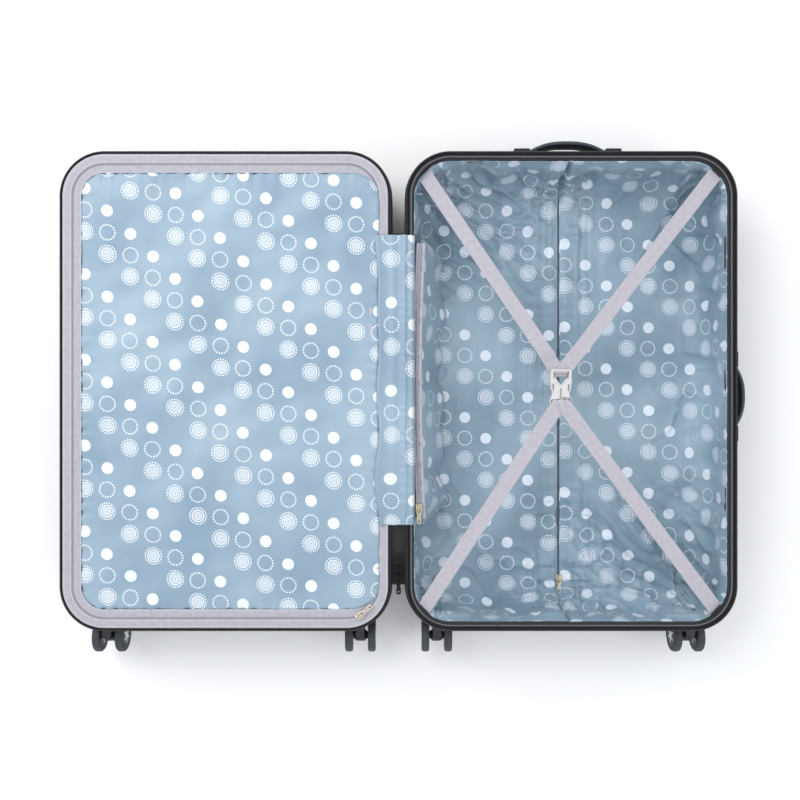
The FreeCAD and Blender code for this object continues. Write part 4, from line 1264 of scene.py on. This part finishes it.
@dataclass
class ZipRunner:
    """A zip slider and its pull tab, replacing plain CAD ones in the same place."""

    tag: str
    body: str
    pull_body: str
    metal: Any
    turn: float
    node: str = ""

    def build(self) -> list[bpy.types.Object]:
        """Build the slider from its CAD node and the pull as a pierced tab.

        The tab is a 7 mm head with a window, a 4.4 mm neck and a rounded paddle with a hole, 22 mm long.
        """
        pieces = []
        if self.node:
            pieces.append(softened(self.node, self.node + "_cast", self.body, self.metal, 0.7))
        low, high = box_mm(self.tag + "_pull")
        direction = np.array([-math.sin(self.turn), math.cos(self.turn)])
        middle = (low[:2] + high[:2]) / 2
        start = middle - direction * 10.7
        shape = rounded_polygon(
            [(-3.4, -0.6, 2.2), (3.4, -0.6, 2.2), (3.4, 7.4, 2.0), (2.3, 9.6, 1.5), (3.2, 14.0, 2.5),
             (3.2, 21.9, 2.8), (-3.2, 21.9, 2.8), (-3.2, 14.0, 2.5), (-2.3, 9.6, 1.5), (-3.4, 7.4, 2.0)]
        )
        window = rounded_polygon([(-1.8, 0.8, 0.7), (1.8, 0.8, 0.7), (1.8, 6.0, 1.2), (-1.8, 6.0, 1.2)])[::-1]
        t = np.linspace(0, 2 * math.pi, 17)[:-1]
        hole = np.stack([1.3 * np.cos(t), 18.2 + 1.3 * np.sin(t)], 1)[::-1]
        pull = cut_plate(
            self.tag + "_pull_tab", [shape, window, hole], low[2], high[2], 0.4, self.metal, self.turn,
            (float(start[0]), float(start[1])),
        )
        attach(pull, self.pull_body)
        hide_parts(self.tag + "_pull")
        return pieces + [pull]


@dataclass
class Straps:
    """The four arms of the crossed packing straps, sewn into the rim and led to the buckle."""

    buckle_x: float = -12.0
    upper_bar: float = 24.6
    lower_bar: float = -15.4
    corner_x: float = 203.5
    corner_y: float = 303.5
    wide: float = 20.0

    def build(self) -> list[bpy.types.Object]:
        """Build the arms, the right one of each pair over the left."""
        pieces = []
        for level, up in (("upper", 1), ("lower", -1)):
            for side, sign in (("left", -1), ("right", 1)):
                pieces.append(self.arm(f"{level}_{side}_strap_arm", level, up, sign))
        dress("strap_anchors", BINDING)
        return pieces

    def arm(self, name: str, level: str, up: int, sign: int) -> bpy.types.Object:
        """Lead one arm along a line from its corner, twisting flat as it leaves the rim.

        With p from 0 at the rim to 1 at the bar: z = 115.4 - 2.6 sin(pi p) + lift, and the ribbon is
        rolled by 0.5 (1 - p / 0.08) at the rim only.
        """
        start = np.array([sign * self.corner_x, up * self.corner_y])
        bar = self.upper_bar if up > 0 else self.lower_bar
        end = np.array([self.buckle_x + sign * 1.6, bar])
        run = end - start
        length = float(np.hypot(*run))
        heading = run / length
        side = np.array([-heading[1], heading[0]])
        p = np.linspace(0, 1, 120)
        q = np.linspace(-1, 1, 13)
        gp, gq = np.meshgrid(p, q, indexing="ij")
        taper = 1 - 0.18 * np.clip((gp - 0.965) / 0.035, 0, 1)
        roll = 0.5 * np.clip(1 - gp / 0.09, 0, 1) ** 2
        over = (0.9 if sign > 0 else 0.0) * np.clip((gp - 0.88) / 0.08, 0, 1)
        x = start[0] + run[0] * gp + side[0] * gq * self.wide / 2 * taper
        y = start[1] + run[1] * gp + side[1] * gq * self.wide / 2 * taper
        cup = 0.25 * gq**2
        z = 115.6 - 2.4 * np.sin(math.pi * gp) + over + cup + roll * 4.0 * (1 + 0.4 * gq) + 0.3 * np.sin(7 * gp + sign)
        if up < 0:
            z = z + 2.2 * np.clip((gp - 0.93) / 0.06, 0, 1)
        else:
            z = z - 7.2 * np.clip((gp - 0.86) / 0.08, 0, 1) ** 2
        points = np.stack([x, y, z], -1) * MM
        uv = np.stack([gp * length, gq * self.wide / 2], -1) * MM
        facing = heading[0] * side[1] - heading[1] * side[0] > 0
        piece = grid_piece(name, points, STRAP_WEB, uv, flip=not facing)
        thicken(piece, 1.3, 0.0)
        edge = piece.modifiers.new("edge", "BEVEL")
        edge.width, edge.segments = 0.35 * MM, 2
        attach(piece, "base")
        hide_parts(level + "_strap")
        return piece


@dataclass
class SideReleaseBuckle:
    """The moulded side-release buckle where the straps meet: a slotted clip above, its socket below."""

    x: float = -12.0
    y: float = 5.7

    def build(self) -> list[bpy.types.Object]:
        """Build the clip's frame and arms, the socket with its windows, and the strap ends in the slots."""
        clip = self.plate(
            "buckle_clip_frame",
            [(-14.3, 24.3, 2.5), (14.3, 24.3, 2.5), (14.4, 10.5, 1.0), (9.4, 10.0, 1.5), (0.9, -1.0, 1.0),
             (-0.9, -1.0, 1.0), (-9.4, 10.0, 1.5), (-14.4, 10.5, 1.0)],
            [[(-10.4, 21.6, 0.8), (10.4, 21.6, 0.8), (10.4, 12.6, 0.8), (6.9, 11.6, 1.0), (0.0, 2.4, 1.4), (-6.9, 11.6, 1.0),
              (-10.4, 12.6, 0.8)]],
            110.6, 115.6, 1.0, "buckle_male",
        )
        socket = self.plate(
            "buckle_socket",
            [(-15.0, 11.2, 1.6), (-9.6, 11.2, 1.6), (-1.6, 0.6, 2.2), (1.6, 0.6, 2.2), (9.6, 11.2, 1.6), (15.0, 11.2, 1.6),
             (14.4, 3.0, 3.0), (12.1, -6.4, 3.0), (11.6, -10.0, 3.0), (14.6, -17.0, 3.0), (14.4, -24.4, 2.5), (-14.4, -24.4, 2.5),
             (-14.6, -17.0, 3.0), (-11.6, -10.0, 3.0), (-12.1, -6.4, 3.0), (-14.4, 3.0, 3.0)],
            [
                [(-11.2, 4.6, 0.9), (-9.4, 2.2, 0.9), (-9.5, -4.8, 0.9), (-10.9, -5.6, 0.9), (-11.7, -1.0, 1.0)],
                [(11.2, 4.6, 0.9), (9.4, 2.2, 0.9), (9.5, -4.8, 0.9), (10.9, -5.6, 0.9), (11.7, -1.0, 1.0)],
                [(-0.9, -2.4, 0.6), (0.9, -2.4, 0.6), (0.7, -12.6, 0.6), (-0.7, -12.6, 0.6)],
                [(-1.5, -14.0, 0.7), (1.5, -14.0, 0.7), (1.5, -15.4, 0.7), (-1.5, -15.4, 0.7)],
                [(-10.6, -19.4, 0.5), (10.6, -19.4, 0.5), (10.6, -21.4, 0.5), (-10.6, -21.4, 0.5)],
            ],
            108.2, 117.0, 1.3, "buckle_female",
        )
        core = self.plate(
            "buckle_core", [(-11.6, 2.6, 2.0), (11.6, 2.6, 2.0), (10.0, -16.8, 2.0), (-10.0, -16.8, 2.0)], [],
            109.2, 113.2, 0.6, "buckle_female",
        )
        tabs = []
        for side, sign in (("left", -1), ("right", 1)):
            tabs.append(self.plate(
                f"buckle_{side}_squeeze_tab",
                [(sign * 11.4, 5.6, 1.2), (sign * 14.9, 4.0, 1.6), (sign * 13.6, -4.4, 1.6), (sign * 10.9, -6.2, 1.2)][::sign],
                [], 109.8, 114.8, 1.0, "buckle_male",
            ))
        return [clip, socket, core, *tabs, self.loop()]

    def plate(
        self, name: str, outline: Sequence[tuple[float, float, float]], holes: Sequence[Sequence[tuple[float, float, float]]],
        low: float, high: float, edge: float, node: str,
    ) -> bpy.types.Object:
        """Mould one plate of the buckle about its middle and let it stand for a CAD node."""
        shapes = [rounded_polygon(outline)] + [rounded_polygon(hole, 5) for hole in holes]
        piece = cut_plate(name, shapes, low, high, edge, BUCKLE, math.radians(-1.5), (self.x, self.y))
        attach(piece, "base")
        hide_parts(node)
        return piece

    def loop(self) -> bpy.types.Object:
        """Turn the joined strap ends round the clip's bar, seen in its slot."""
        t = np.linspace(-0.5, 1.5, 16) * math.pi
        section = np.stack([21.2 + 2.6 * np.cos(t), 112.4 + 2.0 * np.sin(t)], 1)
        tail = np.array([[18.0, 110.6], [14.0, 110.5]])
        profile = np.concatenate([tail[::-1], section])
        x = np.linspace(-9.6, 9.6, 13)
        points = np.stack(
            [
                np.broadcast_to(self.x + x[None, :], (len(profile), 13)),
                np.broadcast_to(self.y + profile[:, :1], (len(profile), 13)),
                np.broadcast_to(profile[:, 1:], (len(profile), 13)),
            ],
            -1,
        )
        steps = np.concatenate([[0], np.cumsum(np.hypot(*np.diff(profile, axis=0).T))])
        uv = np.stack(np.broadcast_arrays(steps[:, None], x[None, :]), -1)
        piece = thicken(grid_piece("buckle_strap_loop", points * MM, STRAP_WEB, uv * MM), 1.0, 0.0)
        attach(piece, "base")
        return piece


@dataclass
class CarryHandle:
    """A soft-touch strap handle that arches out of two mounts."""

    name: str
    half_long: float
    middle: float
    upright: bool
    root: float
    peak: float
    level: float = 85.0

    def build(self) -> list[bpy.types.Object]:
        """Build the arched grip and its raised pad.

        Along t from -1 to 1 the middle stands root + (peak - root) (1 - |t|^2.6)^1.25 from the case, and
        the section is |z / a|^3 + |n / b|^3 = 1 with a from 14 to 10.5 mm and b from 3.8 to 2.6 mm.
        """
        grip = self.sweep(self.name + "_grip", 1.0, 14.0, 3.8, 0.0, HANDLE)
        pad = self.sweep(self.name + "_pad", 0.62, 10.2, 2.2, 2.15, HANDLE)
        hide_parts(self.name)
        for piece in (grip, pad):
            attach(piece, self.name)
        return [grip, pad]

    def sweep(self, name: str, share: float, wide: float, thick: float, out: float, kind: Any) -> bpy.types.Object:
        """Carry the section along the arch.

        Args:
            name: The piece's name.
            share: How much of the length it covers.
            wide: Half its width at the middle.
            thick: Half its thickness at the middle.
            out: How far it stands outside the handle's own middle line.
            kind: The finish.

        Returns:
            The piece, closed at both ends.
        """
        t = share * np.sin(np.linspace(-math.pi / 2, math.pi / 2, 97))
        turn = np.linspace(0, 2 * math.pi, 37)[:-1]
        rise = self.root + (self.peak - self.root) * np.maximum(1 - abs(t) ** 2.6, 0) ** 1.25 + out
        run = t * self.half_long
        tangent = np.stack([np.gradient(run), np.gradient(rise)], 1)
        tangent /= np.linalg.norm(tangent, axis=1)[:, None]
        close = np.sqrt(np.clip(1 - (abs(t) / share) ** 14, 0, 1))
        a = wide * (1 - 0.24 * abs(t) ** 1.5) * close
        b = thick * (1 - 0.3 * abs(t) ** 2) * close
        c, s = np.cos(turn), np.sin(turn)
        across = a[:, None] * np.sign(c) * abs(c) ** (2 / 3)
        proud = b[:, None] * np.sign(s) * abs(s) ** (2 / 3)
        along = self.middle + run[:, None] - tangent[:, 1:] * proud
        reach = rise[:, None] + tangent[:, :1] * proud
        level = self.level + across
        order = (along, reach, level) if self.upright else (reach, along, level)
        points = np.stack(order, -1) * MM
        piece = grid_piece(name, points, kind, around=True, flip=not self.upright)
        merge(piece, 1e-6)
        return piece


@dataclass
class Trolley:
    """The telescopic handle: anodised tubes, moulded bezel, brackets and grip with its push button."""

    def build(self) -> list[bpy.types.Object]:
        """Dress the tubes and soften the moulded parts."""
        for node in ("trolley_outer_tubes", "trolley_middle_tubes", "trolley_inner_tubes"):
            dress(node, TUBE)
        dress("trolley_push_bar", STEEL)
        return [
            softened("trolley_bezel", "trolley_bezel_moulding", "base", TRIM, 1.0),
            softened("trolley_foot_brackets", "trolley_foot_moulding", "base", TRIM, 0.8),
            softened("trolley_grip", "trolley_grip_moulding", "trolley_inner", HANDLE, 2.2, 4),
            softened("trolley_button", "trolley_push_button", "trolley_push", GREY_NYLON, 1.2, 3),
            softened("base_foot", "base_side_foot", "base", TRIM, 1.2, 3),
            softened("handle_mounts", "handle_mount_mouldings", "base", TRIM, 1.4, 3),
        ]


@dataclass
class Caster:
    """One twin-wheel caster: fork, two polyurethane tyres and silver spoked trims."""

    half: Half
    side: str
    spokes: int = 6

    def build(self) -> list[bpy.types.Object]:
        """Build the wheels about the CAD axle and soften the fork."""
        tag = f"{self.half.body}_{self.side}_caster"
        wheels = f"{self.half.body}_{self.side}_wheels"
        low, high = box_mm(tag + "_tyres")
        middle = (low + high) / 2
        radius, tread = (high[2] - low[2]) / 2, 10.5
        pieces = [softened(tag + "_fork", tag + "_fork_moulding", tag, GREY_NYLON, 1.0)]
        for place, sign in (("left", -1), ("right", 1)):
            x = middle[0] + sign * ((high[0] - low[0]) / 2 - tread / 2)
            tyre = self.tyre(f"{tag}_{place}_tyre", x, middle, radius, tread)
            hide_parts(tag + "_tyres")
            trims = [
                self.trim(f"{tag}_{place}_outer_trim", x + sign * (tread / 2 - 0.6), middle, sign),
                self.trim(f"{tag}_{place}_inner_trim", x - sign * (tread / 2 - 0.6), middle, -sign),
            ]
            pieces += [tyre, *trims]
            for piece in [tyre, *trims]:
                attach(piece, wheels)
        dress(tag + "_hubs_and_axle", GREY_NYLON)
        return pieces

    def tyre(self, name: str, x: float, middle: np.ndarray, radius: float, tread: float) -> bpy.types.Object:
        """Turn a tyre about X: r = R - 1.9 |x / w|^4 with two shallow moulding lines, closed at its bore."""
        q = np.linspace(-1, 1, 25)
        outer = radius - 1.9 * abs(q) ** 4 - 0.22 * np.exp(-(((abs(q) - 0.42) / 0.05) ** 2))
        side = np.array([[1.0, radius - 4.0], [0.93, 17.8], [-0.93, 17.8], [-1.0, radius - 4.0]])
        across = np.concatenate([q, side[:, 0]]) * tread / 2
        reach = np.concatenate([outer, side[:, 1]])
        turn = np.linspace(0, 2 * math.pi, 73)[:-1]
        points = np.stack(
            [
                np.broadcast_to(x + across[:, None], (len(across), 72)),
                middle[1] + reach[:, None] * np.cos(turn),
                middle[2] + reach[:, None] * np.sin(turn),
            ],
            -1,
        )
        return grid_piece(name, points * MM, TYRE, around=True, along=True)

    def trim(self, name: str, x: float, middle: np.ndarray, sign: int) -> bpy.types.Object:
        """Press a spoked trim: a domed disc whose windows between the spokes are sunk.

        Sunk depth = smooth step of |angle to the nearest spoke| r against half a spoke's width, between
        the boss and the outer ring.
        """
        r = np.concatenate([np.linspace(0.02, 5.2, 5), np.linspace(5.6, 14.6, 12), np.linspace(15, 17.4, 4)])
        turn = np.linspace(0, 2 * math.pi, 97)[:-1]
        gr, gt = np.meshgrid(r, turn, indexing="ij")
        nearest = np.abs((gt * self.spokes / (2 * math.pi) + 0.5) % 1 - 0.5) * 2 * math.pi / self.spokes
        gap = np.clip((nearest * gr - 1.5) / 0.7, 0, 1)
        zone = np.clip((gr - 5.2) / 0.8, 0, 1) * np.clip((14.8 - gr) / 0.8, 0, 1)
        sunk = gap * zone
        sunk = sunk * sunk * (3 - 2 * sunk)
        dome = 1.1 * (1 - (gr / 17.4) ** 2) - 0.8 * np.clip((gr - 16.4) / 1.0, 0, 1)
        depth = dome - 1.7 * sunk
        points = np.stack([x + sign * depth, middle[1] + gr * np.cos(gt), middle[2] + gr * np.sin(gt)], -1)
        piece = grid_piece(name, points * MM, HUB, around=True, flip=sign < 0)
        attribute = piece.data.attributes.new("sunk", "FLOAT", "POINT")
        attribute.data.foreach_set("value", sunk.astype(np.float32).ravel())
        return piece


@dataclass
class Studio:
    """A pale floor, broad soft lights and the camera above the open case."""

    camera_at: tuple[float, float, float] = (-0.2315, -0.012, 1.300)
    lens: float = 39.1

    def build(self) -> None:
        """Build the floor, world light, lights and camera."""
        low = CAD_BOX[0][2]
        size = 6.0
        corners = np.array([[-size, -size, low], [size, -size, low], [size, size, low], [-size, size, low]])
        floor = mesh_piece("studio_floor", corners, np.array([[0, 1, 2, 3]]), StudioPaper(), smooth=False)
        world = bpy.data.worlds.new("studio_sky")
        world.use_nodes = True
        back = world.node_tree.nodes["Background"]
        back.inputs["Color"].default_value = linear("#F4F7FB")
        back.inputs["Strength"].default_value = 0.9
        bpy.context.scene.world = world
        self.light("key_panel", (-1.3, 1.0, 1.9), 1.4, 26.0)
        self.light("fill_panel", (1.5, -0.9, 2.2), 1.8, 11.0)
        camera = bpy.data.cameras.new("front_camera")
        camera.lens, camera.sensor_width, camera.clip_start = self.lens, 36.0, 0.05
        holder = bpy.data.objects.new("front_camera", camera)
        holder.location = self.camera_at
        bpy.context.scene.collection.objects.link(holder)
        bpy.context.scene.camera = holder
        bpy.context.scene.view_settings.view_transform = "Standard"

    def light(self, name: str, at: tuple[float, float, float], size: float, power: float) -> None:
        """Hang a square panel light aimed at the case."""
        lamp = bpy.data.lights.new(name, "AREA")
        lamp.size, lamp.energy = size, power
        holder = bpy.data.objects.new(name, lamp)
        holder.location = at
        aim = holder.location.copy()
        aim.x += 0.2335
        holder.rotation_euler = aim.to_track_quat("Z", "Y").to_euler()
        bpy.context.scene.collection.objects.link(holder)


@dataclass(frozen=True)
class StudioPaper:
    """Matt white background paper."""

    name: str = "matt_background_paper"

    def make(self) -> bpy.types.Material:
        """Build the material with a faint tooth."""
        material, tree = blank_material(self.name)
        place = add_node(tree, "ShaderNodeTexCoord").node.outputs["Object"]
        tooth = add_node(tree, "ShaderNodeTexNoise", named={"Vector": place, "Scale": 300.0})
        shade(tree, linear("#FBFBFB"), 0.95, tooth, 0.05, 0.1)
        return material


def build_all() -> None:
    """Build every sub-assembly in order and log its pieces."""
    runners = [
        ZipRunner("divider_zip", "divider_slider", "divider_pull", SLIDER_METAL, math.radians(-50), "divider_zip_slider"),
        ZipRunner("pocket_zip", "pocket_slider", "pocket_pull", GOLD_METAL, math.pi, "pocket_zip_slider"),
        ZipRunner("floor_zip", "floor_slider", "floor_pull", GOLD_METAL, math.pi, "floor_zip_slider"),
        ZipRunner("main_zip_upper", "base", "main_upper_pull", BLACK_METAL, 0.0, "main_zip_sliders"),
        ZipRunner("main_zip_lower", "base", "main_lower_pull", BLACK_METAL, math.pi),
    ]
    handles = [
        CarryHandle("top_handle", 66.0, 0.0, True, 324.4, 343.6),
        CarryHandle("side_handle", 54.5, -7.0, False, 224.4, 243.6),
    ]
    parts = [
        CaseHalf(Half.BASE, binding_wide=7.4, piping_radius=0.8, piping_inset=8.6), CaseHalf(Half.LID),
        TubLining(Half.BASE, corner=46.0),
        TubLining(Half.LID, floor=5.5, side_inset=4.6, corner=33.0, lean=3.6, fold=0.5, gathers=0.0, seed=61),
        Divider(), HingeGusset(), FloorZip(), *runners, Straps(), SideReleaseBuckle(), *handles, Trolley(),
    ]
    parts += [Caster(half, side) for half in Half for side in ("left", "right")]
    for part in parts:
        made = part.build()
        for piece in made if isinstance(made, list) else [made]:
            LOG.info("%s: %s, %d faces", type(part).__name__, piece.name, len(piece.data.polygons))


def main() -> None:
    """Build the case and the studio."""
    logging.basicConfig(level=logging.INFO, format="%(message)s")
    build_all()
    Studio().build()


if __name__ == "__main__":
    main()
